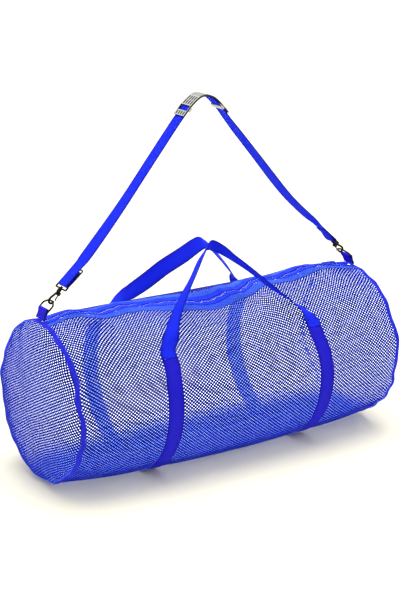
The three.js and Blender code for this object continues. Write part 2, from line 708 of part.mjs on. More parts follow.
// Three-bar slide: a flat plate with two slots, on the inner side of the strap
function strapSlide() {
  const outline = new THREE.Shape();
  const halfLength = SLIDE.length / 2;
  const halfHeight = SLIDE.barHalf + SLIDE.slot + SLIDE.rim;
  const round = 4;
  outline.moveTo(-halfLength + round, -halfHeight);
  outline.lineTo(halfLength - round, -halfHeight);
  outline.quadraticCurveTo(halfLength, -halfHeight, halfLength, -halfHeight + round);
  outline.lineTo(halfLength, halfHeight - round);
  outline.quadraticCurveTo(halfLength, halfHeight, halfLength - round, halfHeight);
  outline.lineTo(-halfLength + round, halfHeight);
  outline.quadraticCurveTo(-halfLength, halfHeight, -halfLength, halfHeight - round);
  outline.lineTo(-halfLength, -halfHeight + round);
  outline.quadraticCurveTo(-halfLength, -halfHeight, -halfLength + round, -halfHeight);
  const slotHalf = WEBBING_WIDTH / 2 + 1;
  for (const sign of [-1, 1]) {
    const near = sign * SLIDE.barHalf;
    const far = sign * (SLIDE.barHalf + SLIDE.slot);
    const slot = new THREE.Path();
    slot.moveTo(-slotHalf, near);
    slot.lineTo(slotHalf, near);
    slot.lineTo(slotHalf, far);
    slot.lineTo(-slotHalf, far);
    slot.closePath();
    outline.holes.push(slot);
  }
  const plate = new THREE.ExtrudeGeometry(outline, {
    depth: SLIDE.thickness, bevelEnabled: false, curveSegments: 3,
  });
  plate.translate(0, 0, -SLIDE.thickness / 2);
  const solid = fromManifold(asManifold(plate));
  const facing = ACROSS_BAG.clone().cross(strapLeave);
  return placed(solid, ACROSS_BAG, strapLeave, facing, endPoint(SLIDE.up, slideInset));
}

// Shoulder pad: a strip over the top of the strap, with a window near each end and a keeper bar
// under each window
function shoulderPad() {
  const total = strapCurve.getLength();
  const apex = [...Array(201).keys()].map((i) => i / 200)
    .reduce((best, t) => (strapCurve.getPointAt(t).z > strapCurve.getPointAt(best).z ? t : best), 0.5);
  const frame = (distance) => {
    const t = apex + (distance + PAD_SHIFT) / total;
    const along = strapCurve.getTangentAt(t);
    return { at: strapCurve.getPointAt(t), along, out: ACROSS_BAG.clone().cross(along).multiplyScalar(-1) };
  };
  const low = WEBBING_THICKNESS / 2 + 1.5 * GAP;
  const strip = (from, to, bottom, top, width, steps) => loft([...Array(steps + 1).keys()].map((i) => {
    const { at, out } = frame(from + ((to - from) * i) / steps);
    return [[1, top], [-1, top], [-1, bottom], [1, bottom]].map(([side, height]) =>
      at.clone().addScaledVector(out, height).setY(side * width / 2));
  }));
  const half = PAD_LENGTH / 2;
  const windows = [-1, 1].map((sign) => sign * (half - 20));
  const board = strip(-half, half, low, low + PAD_THICKNESS, PAD_WIDTH, 20);
  const above = low + PAD_THICKNESS + 2;
  const holes = windows.map((middle) => strip(middle - 7, middle + 7, low - 2, above, 34, 2));
  const keepers = windows.map((middle) => {
    const bottom = -low - KEEPER_THICKNESS;
    const block = strip(middle - 5, middle + 5, bottom, low + 1, PAD_WIDTH, 2);
    const room = strip(middle - 6, middle + 6, -low, low, WEBBING_WIDTH + 3 * GAP, 2);
    return cut(block, room);
  });
  return join(cut(board, ...holes), ...keepers.map((keeper, i) => cut(keeper, holes[i])));
}

// The whole bag

const bag = new THREE.Group();

function add(name, finish, geometry) {
  const mesh = new THREE.Mesh(geometry, new THREE.MeshStandardMaterial(COLOURS[finish]));
  mesh.name = name;
  bag.add(mesh);
}

add("body_panel", "net", bodyPanel());
const tapeIn = CHAIN_HALF + GAP;
add("zip_tape_front", "zip", zipStrip(0, -tapeIn - TAPE_WIDTH, -tapeIn, -TAPE_THICKNESS, 0));
add("zip_tape_back", "zip", zipStrip(0, tapeIn, tapeIn + TAPE_WIDTH, -TAPE_THICKNESS, 0));
const chainLift = CHAIN_THICKNESS / 2;
add("zip_chain", "zip", zipStrip(BINDING_HALF + GAP, -CHAIN_HALF, CHAIN_HALF, -chainLift, chainLift));
add("zip_slider", "zip", zipSlider());
add("handle_front", "webbing", handle(HANDLE_FRONT, false));
add("handle_back", "webbing", handle(HANDLE_BACK, true));
for (const [name, side] of [["left", -1], ["right", 1]]) {
  add(`end_panel_${name}`, "net", endPanel(side));
  add(`rim_binding_${name}`, "webbing", rimBinding(side));
  add(`girth_band_${name}`, "webbing", girthBand(BAND_CENTRES[name]));
  add(`ring_tab_${name}`, "webbing", ringTab(side));
  add(`d_ring_${name}`, "metal", dRing(side));
  add(`hook_${name}`, "metal", hookBody(side));
  add(`hook_gate_${name}`, "metal", hookGate(side));
  add(`hook_eye_${name}`, "metal", hookEye(side));
}
add("shoulder_strap", "webbing", shoulderStrap());
add("strap_slide", "plastic", strapSlide());
add("shoulder_pad", "pad", shoulderPad());

export default bag;
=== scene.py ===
# %% [markdown]
# # A net duffel bag
# This lesson dresses the plain solids of a net sports bag. Every piece of cloth is worked out as a
# surface in numpy: a formula gives the place of each point, and the points become a mesh. The solids
# stay as the fixed frame, so a piece goes exactly where its solid lies.

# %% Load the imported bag
import bpy
import numpy as np
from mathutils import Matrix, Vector


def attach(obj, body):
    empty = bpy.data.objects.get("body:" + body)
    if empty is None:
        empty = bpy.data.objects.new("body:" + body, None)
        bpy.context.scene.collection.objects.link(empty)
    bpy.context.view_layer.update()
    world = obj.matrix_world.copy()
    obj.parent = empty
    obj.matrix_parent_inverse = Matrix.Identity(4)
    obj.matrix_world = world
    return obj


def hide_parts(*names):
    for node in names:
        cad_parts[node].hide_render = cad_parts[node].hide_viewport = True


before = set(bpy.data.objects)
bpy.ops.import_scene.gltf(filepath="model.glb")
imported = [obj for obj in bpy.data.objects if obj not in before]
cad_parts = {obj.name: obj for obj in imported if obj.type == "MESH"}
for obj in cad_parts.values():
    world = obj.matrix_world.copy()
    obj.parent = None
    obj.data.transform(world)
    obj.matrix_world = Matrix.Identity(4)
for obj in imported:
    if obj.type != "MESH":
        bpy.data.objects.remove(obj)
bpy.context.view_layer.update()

scene = bpy.context.scene
MM = 0.001
print("solids loaded:", len(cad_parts))

# %% [markdown]
# ## Camera
# The bag was fitted to its picture by its outline, which gives the place of the eye, the point it
# looks at and the lens. A lens without shift keeps the bag in the middle of every other view too.

# %% Camera
IMAGE_HEIGHT_PX = 601
FOCAL_PX = 1555.3
SENSOR_MM = 36
EYE = Vector((-1.8323, -2.8310, 1.3770))
AIM = Vector((-0.0099, 0.0, 0.3474))

camera = bpy.data.objects.new("camera", bpy.data.cameras.new("camera"))
camera.data.sensor_fit = "VERTICAL"
camera.data.sensor_height = SENSOR_MM
camera.data.lens = FOCAL_PX * SENSOR_MM / IMAGE_HEIGHT_PX
camera.location = EYE
camera.rotation_euler = (AIM - EYE).to_track_quat("-Z", "Y").to_euler()
scene.collection.objects.link(camera)
scene.camera = camera
print("lens", round(camera.data.lens, 1), "mm")

# %% [markdown]
# ## From arrays to meshes
# All pieces share a few helpers. A grid of points becomes quads between its rows and columns, either
# of which may close into a ring, and open ends get one flat cap. A UV map in metres goes along, so that
# a weave can follow the cloth.


# %% Mesh helpers
def new_piece(name, points, face_sets, uv=None, smooth=True, inner=None):
    """Mesh object from points in millimetres and arrays of faces with 3, 4 or more corners each.

    inner marks each point or each face for its painted light and shade: 0 where cloth shows, rising to 1 on
    its inside.
    """
    loops = np.concatenate([faces.ravel() for faces in face_sets])
    sizes = np.concatenate([np.full(len(faces), faces.shape[1]) for faces in face_sets])
    mesh = bpy.data.meshes.new(name)
    mesh.vertices.add(len(points))
    mesh.vertices.foreach_set("co", (np.asarray(points, float) * MM).ravel())
    mesh.loops.add(len(loops))
    mesh.loops.foreach_set("vertex_index", loops.astype(np.int32))
    mesh.polygons.add(len(sizes))
    mesh.polygons.foreach_set("loop_start", np.concatenate([[0], np.cumsum(sizes)[:-1]]).astype(np.int32))
    mesh.polygons.foreach_set("use_smooth", np.full(len(sizes), smooth))
    if uv is not None:
        layer = mesh.uv_layers.new(name="cloth")
        layer.data.foreach_set("uv", (np.asarray(uv, float)[loops] * MM).astype(np.float32).ravel())
    if inner is not None:
        domain = "POINT" if len(inner) == len(points) else "FACE"
        mesh.attributes.new("inner", "FLOAT", domain).data.foreach_set("value", np.asarray(inner, np.float32))
    mesh.update(calc_edges=True)
    piece = bpy.data.objects.new(name, mesh)
    scene.collection.objects.link(piece)
    return piece


def grid_faces(rows, columns, ring_rows=False, ring_columns=False):
    """Quads between neighbouring rows and columns of a grid whose points are stored row by row."""
    i = np.arange(rows if ring_rows else rows - 1)[:, None]
    j = np.arange(columns if ring_columns else columns - 1)[None, :]
    i2 = (i + 1) % rows
    j2 = (j + 1) % columns
    corners = [i * columns + j, i * columns + j2, i2 * columns + j2, i2 * columns + j]
    return np.stack(np.broadcast_arrays(*corners), -1).reshape(-1, 4)


def swept(sections, closed=False):
    """Points and faces of closed sections carried along a path: a ring across, capped at open ends."""
    rows, columns = sections.shape[:2]
    faces = [grid_faces(rows, columns, closed, True)]
    if not closed:
        faces += [np.arange(columns)[None, ::-1], (rows - 1) * columns + np.arange(columns)[None, :]]
    return sections.reshape(-1, 3), faces


def flipped(faces):
    """Faces turned over: the corners of each in reverse order."""
    return [part[:, ::-1] for part in faces]


def strip_uv(across, along):
    """UV map of a strip, point by point: the distance across it and the distance along it."""
    return np.stack(np.broadcast_arrays(across[None, :], along[:, None]), -1).reshape(-1, 2)


def joined(*shells):
    """Several shells of points and faces as one: each shell's indices move up past the points before it."""
    starts = np.cumsum([0] + [len(points) for points, _ in shells[:-1]])
    points = np.concatenate([points for points, _ in shells])
    faces = [part + start for start, (_, parts) in zip(starts, shells) for part in parts]
    return points, faces


def unit(vectors):
    """Vectors divided by their own lengths."""
    return vectors / np.linalg.norm(vectors, axis=-1, keepdims=True)


def triangles(piece):
    """Triangles of a mesh: a face with n corners makes n - 2."""
    return len(piece.data.loops) - 2 * len(piece.data.polygons)


def dress(piece, material, slot, *nodes, body="bag"):
    """Gives a piece its finish, hides the solids it stands for and lets it ride on their body."""
    piece.data.materials.append(material)
    if nodes:
        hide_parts(*nodes)
    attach(piece, body)
    print(piece.name, triangles(piece), "triangles")
    return piece


# %% [markdown]
# ## Weave and tone
# Webbing, tape and thread share two effects, so each is a node group: a plain weave on the cloth's own
# UV map, and a slow change of tone from wear and light. A group hands out only masks, heights and
# colours; each material keeps its own shader.


# %% Node helpers
def srgb(red, green, blue):
    """Linear colour of an 8-bit one, by the usual power curve."""
    channels = np.array([red, green, blue]) / 255
    linear = np.where(channels <= 0.04045, channels / 12.92, ((channels + 0.055) / 1.055) ** 2.4)
    return (*linear.tolist(), 1.0)


def new_group(name, inputs, outputs):
    """Empty shader group; inputs and outputs are rows of socket name, socket type and default value."""
    group = bpy.data.node_groups.new(name, "ShaderNodeTree")
    for direction, rows in (("INPUT", inputs), ("OUTPUT", outputs)):
        for label, kind, default in rows:
            socket = group.interface.new_socket(label, in_out=direction, socket_type=kind)
            if default is not None:
                socket.default_value = default
    return group, group.nodes.new("NodeGroupInput"), group.nodes.new("NodeGroupOutput")


def maths(tree, operation, first, second=None):
    """Math node on sockets or plain numbers; gives its output socket."""
    node = tree.nodes.new("ShaderNodeMath")
    node.operation = operation
    for socket, value in zip(node.inputs, (first, second)):
        if isinstance(value, bpy.types.NodeSocket):
            tree.links.new(value, socket)
        elif value is not None:
            socket.default_value = value
    return node.outputs[0]


def mixed(tree, factor, first, second):
    """Colour mix node from first to second; each may be a socket or a colour."""
    node = tree.nodes.new("ShaderNodeMix")
    node.data_type = "RGBA"
    for socket, value in zip((node.inputs[0], node.inputs[6], node.inputs[7]), (factor, first, second)):
        if isinstance(value, bpy.types.NodeSocket):
            tree.links.new(value, socket)
        else:
            socket.default_value = value
    return node.outputs[2]


# %% [markdown]
# ### Plain weave
# In plain weave warp and weft take turns on top, as the fields of a chessboard do. The sum of both thread
# numbers, odd or even, says which one is up, and a sine rounds each thread.

# %% Plain weave group
weave, weave_in, weave_out = new_group(
    "plain weave",
    [
        ("Cloth", "NodeSocketVector", None),
        ("Across", "NodeSocketFloat", 0.0016),
        ("Along", "NodeSocketFloat", 0.0022),
    ],
    [("Height", "NodeSocketFloat", None)],
)
axes = weave.nodes.new("ShaderNodeSeparateXYZ")
weave.links.new(weave_in.outputs["Cloth"], axes.inputs[0])
warp = maths(weave, "DIVIDE", axes.outputs[0], weave_in.outputs["Across"])
weft = maths(weave, "DIVIDE", axes.outputs[1], weave_in.outputs["Along"])
both = maths(weave, "ADD", maths(weave, "FLOOR", warp), maths(weave, "FLOOR", weft))
over = maths(weave, "PINGPONG", both, 1.0)
warp_round = maths(weave, "ABSOLUTE", maths(weave, "SINE", maths(weave, "MULTIPLY", warp, np.pi)))
weft_round = maths(weave, "ABSOLUTE", maths(weave, "SINE", maths(weave, "MULTIPLY", weft, np.pi)))
warp_share = maths(weave, "MULTIPLY", over, warp_round)
weft_share = maths(weave, "MULTIPLY", maths(weave, "SUBTRACT", 1.0, over), weft_round)
weave.links.new(maths(weave, "ADD", warp_share, weft_share), weave_out.inputs["Height"])
print("group:", weave.name)

# %% [markdown]
# ### Tone
# Cloth is never one flat colour. Two noises serve every finish here: large patches for fading, and fine
# fibres for fuzz.

# %% Tone group
NOISE_DETAIL = 3.0
tone, tone_in, tone_out = new_group(
    "tone",
    [
        ("Place", "NodeSocketVector", None),
        ("Patch", "NodeSocketFloat", 9.0),
        ("Fibre", "NodeSocketFloat", 700.0),
    ],
    [("Fade", "NodeSocketFloat", None), ("Fuzz", "NodeSocketFloat", None)],
)
for source, target in (("Patch", "Fade"), ("Fibre", "Fuzz")):
    noise = tone.nodes.new("ShaderNodeTexNoise")
    noise.inputs["Detail"].default_value = NOISE_DETAIL
    tone.links.new(tone_in.outputs["Place"], noise.inputs["Vector"])
    tone.links.new(tone_in.outputs[source], noise.inputs["Scale"])
    tone.links.new(noise.outputs[0], tone_out.inputs[target])
print("group:", tone.name)


# %% [markdown]
# ### Marks and tones
# The net's colour changes from face to face, so each face has a mark: knot, strand, flank or inside. Knots
# and the tops of strands are painted dark as shade, and the flanks painted bright as light. The inside of a
# thin wall shows the daylight that soaks through it. Here it is pale and gives off light of its own in that
# light's place. It stays bluer where a band lies behind it, and near the floor, where less light comes in.

# %% Marks and tones of the cloth
STRAND_MARK, FLANK_MARK, COVERED_MARK = 0.2, 0.5, 0.9
FLANK_FROM, INSIDE_FROM = 0.4, 0.8
GLOW = 1.0
DARK = srgb(0, 0, 0)
# Inside tones, painted as light soaking through the net, which they also give off as glow: bluer where a band
# covers it and near the floor.
PALE = srgb(244, 247, 255)
COVERED = srgb(142, 164, 255)
UNDER = srgb(125, 152, 255)
FLOOR_NEAR, FLOOR_FAR = 0.008, 0.04
CLOTH_ROUGHNESS, CLOTH_GLOSS = 0.8, 0.05
YARN_DEPTH, TAPE_DEPTH, BUMP_DEPTH = 0.0002, 0.002, 0.0004
print("marks of strand, flank and covered inside:", STRAND_MARK, FLANK_MARK, COVERED_MARK)


# %% Material helpers
def new_material(name, roughness, metallic=0.0):
    """Material with its Principled shader, and a tone group on Object coordinates."""
    material = bpy.data.materials.new(name)
    material.use_nodes = True
    tree = material.node_tree
    shader = tree.nodes["Principled BSDF"]
    shader.inputs["Roughness"].default_value = roughness
    shader.inputs["Metallic"].default_value = metallic
    place = tree.nodes.new("ShaderNodeTexCoord")
    fade = tree.nodes.new("ShaderNodeGroup")
    fade.node_tree = tone
    tree.links.new(place.outputs["Object"], fade.inputs["Place"])
    return material, tree, shader, fade


def add_bump(tree, shader, height, strength, distance):
    """Bump on the shader's normal from a height between 0 and 1, with its depth in metres."""
    bump = tree.nodes.new("ShaderNodeBump")
    bump.inputs["Strength"].default_value = strength
    bump.inputs["Distance"].default_value = distance
    tree.links.new(height, bump.inputs["Height"])
    tree.links.new(bump.outputs[0], shader.inputs["Normal"])


def cloth_mark(tree):
    """The mark of a place, from the mesh's own attribute."""
    node = tree.nodes.new("ShaderNodeAttribute")
    node.attribute_name = "inner"
    return node.outputs["Fac"]


def soften_and_glow(shader, depth):
    """Cloth's soft look: hardly any gloss, light that spreads in it by a depth in metres, and the strength of
    the glow that paints light on its inside.
    """
    shader.inputs["Emission Strength"].default_value = GLOW
    shader.inputs["Specular IOR Level"].default_value = CLOTH_GLOSS
    shader.inputs["Subsurface Weight"].default_value = 1.0
    shader.inputs["Subsurface Radius"].default_value = (1.0, 1.0, 1.0)
    shader.inputs["Subsurface Scale"].default_value = depth


def near_floor(tree):
    """How close a place is to the floor: 1 up to a low height, easing to 0 at a higher one."""
    place = tree.nodes.new("ShaderNodeTexCoord")
    axes = tree.nodes.new("ShaderNodeSeparateXYZ")
    tree.links.new(place.outputs["Object"], axes.inputs[0])
    ease = tree.nodes.new("ShaderNodeMapRange")
    ease.interpolation_type = "SMOOTHSTEP"
    tree.links.new(axes.outputs[2], ease.inputs["Value"])
    for socket, value in zip(ease.inputs[1:5], (FLOOR_NEAR, FLOOR_FAR, 1.0, 0.0)):
        socket.default_value = value
    return ease.outputs[0]


# %% [markdown]
# ### Yarn
# A picture of yarn would repeat. A colour ramp that reads the marks gives every face its tone instead:
# painted shade on knots and strand tops, painted light on flanks and inside. A slow noise wears it, and a
# fine one makes it fuzzy.

# %% Yarn
YARN_WEAR, YARN_FUZZ = 0.2, 0.3


def yarn(name, knot, strand, flank):
    """Spun yarn: a tone for each mark from knot to inside, painted shade on the tops and painted light on the
    flanks and the glowing inside, worn a little by patch, with fuzz as bump.
    """
    material, tree, shader, fade = new_material(name, CLOTH_ROUGHNESS)
    soften_and_glow(shader, YARN_DEPTH)
    tones = tree.nodes.new("ShaderNodeValToRGB")
    ramp = tones.color_ramp
    ramp.interpolation = "CONSTANT"
    for position, colour in ((STRAND_MARK / 2, strand), (FLANK_FROM, flank), (INSIDE_FROM, COVERED)):
        ramp.elements.new(position).color = colour
    ramp.elements[0].color = knot
    ramp.elements[-1].position = (COVERED_MARK + 1) / 2
    ramp.elements[-1].color = PALE
    mark = cloth_mark(tree)
    tree.links.new(mark, tones.inputs[0])
    worn = maths(tree, "MULTIPLY", fade.outputs["Fade"], YARN_WEAR)
    outside = mixed(tree, worn, tones.outputs[0], flank)
    inside = mixed(tree, near_floor(tree), tones.outputs[0], UNDER)
    inner_face = maths(tree, "GREATER_THAN", mark, INSIDE_FROM)
    tree.links.new(mixed(tree, inner_face, outside, inside), shader.inputs["Base Color"])
    tree.links.new(mixed(tree, inner_face, DARK, inside), shader.inputs["Emission Color"])
    add_bump(tree, shader, fade.outputs["Fuzz"], YARN_FUZZ, BUMP_DEPTH)
    return material


# Tones of knot, strand top and flank: painted shade on the tops, painted light on the flanks.
net_yarn = yarn("net yarn", srgb(0, 0, 10), srgb(11, 20, 106), srgb(48, 72, 255))
hem_yarn = yarn("hem yarn", srgb(58, 90, 246), srgb(70, 106, 252), srgb(76, 116, 255))
thread = yarn("thread", srgb(48, 54, 228), srgb(48, 54, 228), srgb(40, 46, 210))
print("yarns:", net_yarn.name, hem_yarn.name, thread.name)

# %% [markdown]
# ### Woven tape
# Webbing, binding and zip tape are woven, at three scales. The weave group reads the UV map, which runs
# along the cloth in metres, so that threads bend with the tape and edges darken. The low places of the weave
# get painted shade, and an inside is painted pale and glows, as light that soaks through the cloth.

# %% Woven tape
EDGE_DARKENING_POWER = 5.0
VALLEY_SHADE = 0.35
WEAVE_BUMP = 0.5
BROAD_WEAVE = {"half_width": 0.019, "across": 0.0016, "along": 0.0022}
BINDING_WEAVE = {"half_width": 0.0085, "across": 0.0012, "along": 0.0016}
ZIP_WEAVE = {"half_width": 0.007, "across": 0.0010, "along": 0.0012}
# Insides of band and binding: painted light soaking through the cloth, which they also give off as glow.
BAND_INSIDE = srgb(70, 100, 220)
BINDING_INSIDE = srgb(85, 120, 252)


def woven(name, colour, faded, edge, inside, half_width, across, along):
    """Woven tape: plain weave on the UV map, two tones by patch, painted shade in the weave's low places,
    darker edges, and its own inside painted as light, which glows.
    """
    material, tree, shader, fade = new_material(name, CLOTH_ROUGHNESS)
    soften_and_glow(shader, TAPE_DEPTH)
    cloth = tree.nodes.new("ShaderNodeUVMap")
    cloth.uv_map = "cloth"
    threads = tree.nodes.new("ShaderNodeGroup")
    threads.node_tree = weave
    threads.inputs["Across"].default_value = across
    threads.inputs["Along"].default_value = along
    tree.links.new(cloth.outputs[0], threads.inputs["Cloth"])
    axes = tree.nodes.new("ShaderNodeSeparateXYZ")
    tree.links.new(cloth.outputs[0], axes.inputs[0])
    from_middle = maths(tree, "DIVIDE", maths(tree, "ABSOLUTE", axes.outputs[0]), half_width)
    edge_darkening = maths(tree, "POWER", from_middle, EDGE_DARKENING_POWER)
    body = mixed(tree, fade.outputs["Fade"], colour, faded)
    low = maths(tree, "SUBTRACT", 1.0, threads.outputs["Height"])
    shaded = mixed(tree, maths(tree, "MULTIPLY", low, VALLEY_SHADE), body, edge)
    outside = mixed(tree, edge_darkening, shaded, edge)
    inner_face = cloth_mark(tree)
    tree.links.new(mixed(tree, inner_face, outside, inside), shader.inputs["Base Color"])
    tree.links.new(mixed(tree, inner_face, DARK, inside), shader.inputs["Emission Color"])
    add_bump(tree, shader, threads.outputs["Height"], WEAVE_BUMP, BUMP_DEPTH)
    return material


webbing = woven("webbing", srgb(25, 42, 232), srgb(29, 46, 228), srgb(12, 18, 126), PALE, **BROAD_WEAVE)
# The bands and tabs are the handles' own webbing in a darker copy: painted shade for faces that the light
# hardly reaches.
band_webbing_shaded = woven(
    "band webbing", srgb(33, 28, 198), srgb(36, 31, 204), srgb(17, 14, 126), BAND_INSIDE, **BROAD_WEAVE)
binding_tape = woven(
    "binding tape", srgb(38, 42, 202), srgb(44, 48, 210), srgb(19, 21, 136), BINDING_INSIDE, **BINDING_WEAVE)
zip_cloth = woven("zip cloth", srgb(40, 68, 238), srgb(48, 82, 242), srgb(25, 40, 190), PALE, **ZIP_WEAVE)
print("tapes:", webbing.name, band_webbing_shaded.name, binding_tape.name, zip_cloth.name)

# %% [markdown]
# ## The shape of the bag
# The bag is a soft round tube with puffed ends. Its surface is a radius for each place along it and each
# angle round it: a barrel that sags at the crown, with folds, gathers at the seams and puckers along the
# zip. The same values shape the solids, so cloth made here lies on them.

# %% Sizes and tables of the bag, in millimetres and degrees
SEAM_HALF = 417
DOME_DEPTH = 40
DOME_POWER = 2.1
RIM_RADIUS = 185
BELLY_RADIUS = 195
CENTRE_HEIGHT = 183
TOP_SAG = 12
END_LIFT = 5
GAP = 0.4
WEBBING_WIDTH = 38
WEBBING_THICKNESS = 1.8
NET_BASE = WEBBING_THICKNESS + GAP
BANDS = {"left": -195, "right": 208}
ROUND_STEPS = 48
STITCH_V = 7 / ROUND_STEPS
CHAIN_HALF = 3.2
TAPE_WIDTH = 14
SLIT = (CHAIN_HALF + TAPE_WIDTH + 3 * GAP) / RIM_RADIUS

# Columns: x along the bag, degrees from the crown
ZIP_LINE = np.array([
    (-417, 0), (-345, 6), (-270, -1), (-175, 1), (-80, -8), (0, -12),
    (70, -6), (145, 4), (260, 3), (335, 6), (417, 0),
], float)
# Columns: x, degrees from the crown, reach along, reach round in degrees, height
FOLDS = (
    (330, 0, 80, 26, 13), (-330, 8, 40, 16, 4), (-60, -25, 90, 20, -4), (20, -130, 140, 28, 4),
    (-310, -75, 60, 22, -5), (320, -60, 50, 26, -4), (-300, 80, 70, 26, -4), (60, 75, 120, 30, -5),
)
# Columns: end (-1 left), degrees from the crown, reach round in degrees, loss of depth, loss of rim radius
END_SLACK = ((-1, 35, 55, 15, 0), (-1, 42, 24, 0, 7), (-1, -145, 35, 0, 9), (1, -140, 60, 12, 2))
DEPTH_LOSS, RIM_LOSS = 3, 4
SEAM_REACH = 34
# Heights of a seam's lazy wave and of its short pulls, along the bag and out from it
SHIFT_HEIGHTS = (4.5, 2.2)
SWELL_HEIGHTS = (2.0, 1.0)
# Depth and reach along of the pinch beside a band
BAND_PINCH = (2.5, 45)
# Height, wave length and reach from the zip of its slow puckers and its short crimps
PUCKER = (4, 125, 45)
CRIMP = (1.3, 33, 24)
print("bag", 2 * (SEAM_HALF + DOME_DEPTH), "mm long")


# %% Surface of the bag
def eased(table, x):
    """Second column of a table at x: a smooth step from each row to the next."""
    row = np.clip(np.searchsorted(table[:, 0], x, side="right") - 1, 0, len(table) - 2)
    share = np.clip((x - table[row, 0]) / (table[row + 1, 0] - table[row, 0]), 0, 1)
    return table[row, 1] + (table[row + 1, 1] - table[row, 1]) * share * share * (3 - 2 * share)


def zip_angle(x):
    """Angle of the zip's middle line from the crown."""
    return np.radians(eased(ZIP_LINE, x))


def folded(angle):
    """Angle brought into the half turn either side of the crown."""
    return np.arctan2(np.sin(angle), np.cos(angle))


def gather(angle, phase):
    """Lazy wave of a seam: sines of nine and of five waves round the end, calmed at the crown."""
    calm = 1 - np.exp(-((folded(angle) / 0.4) ** 2))
    return calm * (0.6 * np.sin(9 * angle + phase) + 0.4 * np.sin(5 * angle + 2 * phase))


def scallop(angle):
    """Short pulls of the thread: nineteen waves round the end, unevenly spaced, calmed at the crown."""
    calm = 1 - np.exp(-((folded(angle) / 0.25) ** 2))
    return calm * np.sin(19 * angle + 1.5 * np.sin(3 * angle))


def seam_shift(angle):
    """How far a seam wanders along the bag: lazy waves with short pulls on them."""
    return SHIFT_HEIGHTS[0] * gather(angle, 0.8) + SHIFT_HEIGHTS[1] * scallop(angle)


def seam_swell(angle):
    """How far a seam stands out from the round, by the same two waves a little further on."""
    return SWELL_HEIGHTS[0] * gather(angle, 2.2) + SWELL_HEIGHTS[1] * scallop(angle + 0.6)


def slack(side, angle, column):
    """Sum of bells round the end, one for each row of the ends' slack on that side."""
    def bell(row):
        """1 at the row's own angle, falling off over its reach."""
        return np.exp(-((folded(angle - np.radians(row[1])) / np.radians(row[2])) ** 2))
    return sum(row[column] * bell(row) for row in END_SLACK if row[0] == side)


def rim_radius(side, angle):
    """Radius of an end's rim, less at the bottom, where the ends lift, and where the rim is slack."""
    return RIM_RADIUS - END_LIFT * np.maximum(-np.cos(angle), 0) - slack(side, angle, RIM_LOSS)


def body_radius(x, angle):
    """Barrel, less the sag of the crown, plus folds, band pinches, zip puckers and seam gathers."""
    t = np.abs(x) / SEAM_HALF
    crown = np.maximum(np.cos(angle), 0)
    radius = RIM_RADIUS + (BELLY_RADIUS - RIM_RADIUS) * (1 - t ** 3)
    radius = radius - TOP_SAG * (1 - t * t) * crown ** 2
    radius = radius - (RIM_RADIUS - np.where(x < 0, rim_radius(-1, angle), rim_radius(1, angle))) * t ** 4
    for fold_x, degrees, along, around, height in FOLDS:
        bell = ((x - fold_x) / along) ** 2 + (folded(angle - np.radians(degrees)) / np.radians(around)) ** 2
        radius = radius + height * np.exp(-bell) * (1 - t ** 6)
    for centre in BANDS.values():
        radius = radius - BAND_PINCH[0] * np.exp(-(((x - centre) / BAND_PINCH[1]) ** 2)) * (1 - crown)
    from_zip = folded(angle - zip_angle(x)) * RIM_RADIUS
    pucker = PUCKER[0] * np.sin(2 * np.pi * x / PUCKER[1]) * np.exp(-((from_zip / PUCKER[2]) ** 2))
    uneven = 2 * np.sin(x / 80)
    crimp = CRIMP[0] * np.sin(2 * np.pi * x / CRIMP[1] + uneven) * np.exp(-((from_zip / CRIMP[2]) ** 2))
    radius = radius + (pucker + crimp) * (1 - t ** 4)
    return radius + seam_swell(angle) * np.exp(-(SEAM_HALF - np.abs(x)) / SEAM_REACH)


def round_point(x, radius, angle, offset):
    """Point at a radius and angle, pressed flat where the bag lies on its bands."""
    height = np.maximum(CENTRE_HEIGHT + radius * np.cos(angle), NET_BASE - offset)
    return np.stack(np.broadcast_arrays(x, radius * np.sin(angle), height), -1)


def body_point(x, angle, offset):
    """Point of the tube, moved out by offset; near a seam it follows the seam's wave along the bag."""
    shift = np.sign(x) * seam_shift(angle) * np.exp(-(SEAM_HALF - np.abs(x)) / SEAM_REACH)
    return round_point(x + shift, body_radius(x, angle) + offset, angle, offset)


def dome_point(side, turn, angle, offset):
    """Point of a puffed end: a superellipse from the rim (turn 0) to the middle (a right angle)."""
    rise = np.sin(turn) ** (2 / DOME_POWER)
    spread = np.abs(np.cos(turn)) ** (2 / DOME_POWER)
    depth = DOME_DEPTH - slack(side, angle, DEPTH_LOSS) * spread
    rim = rim_radius(side, angle)
    wave = spread * np.exp(-(depth * rise + rim * (1 - spread)) / SEAM_REACH)
    normal = unit(np.stack([rise ** (DOME_POWER - 1) / depth, spread ** (DOME_POWER - 1) / rim], -1))
    x = SEAM_HALF + depth * rise + seam_shift(angle) * wave + offset * normal[..., 0]
    radius = rim * spread + seam_swell(angle) * wave + offset * normal[..., 1]
    return round_point(side * x, np.maximum(radius, 0), angle, offset)


def net_angle(x, v):
    """Angle round the tube: v goes from 0 at the zip's front edge, under the bag, to 1 at its back edge."""
    return -(SLIT + v * 2 * (np.pi - SLIT)) + zip_angle(x) * np.abs(2 * v - 1) ** 3


print("belly across:", round(float(2 * body_radius(np.array(0.0), np.array(-np.pi / 2)))), "mm")

# %% [markdown]
# ## The net
# The cloth is a knitted net of small diamonds. A see-through texture would look flat from the side, so
# the yarn is real: every crossing is a small flat block, and a strand is a bar from block to block. Whole
# arrays of crossings make the strands at once. Seen along the cloth the strands close up into solid blue,
# as they do on the real bag.

# %% Net from a lattice of crossings
YARN_HALF = 1.7
YARN_HEIGHT = 0.25
CELL_ALONG = 8.5
CELL_ROUND = 7.8
EAST, NORTH, WEST, SOUTH = range(4)
CORNER_STEPS = np.array([(1, 0), (0, 1), (-1, 0), (0, -1)])


def bar_faces(ring, edges):
    """Faces of bars from rings of their four top corners: top, bottom, and the sides below some edges."""
    low = ring + 4
    sides = [np.stack([low[:, a], low[:, b], ring[:, b], ring[:, a]], -1) for a, b in edges]
    return [ring, low[:, ::-1], *sides]


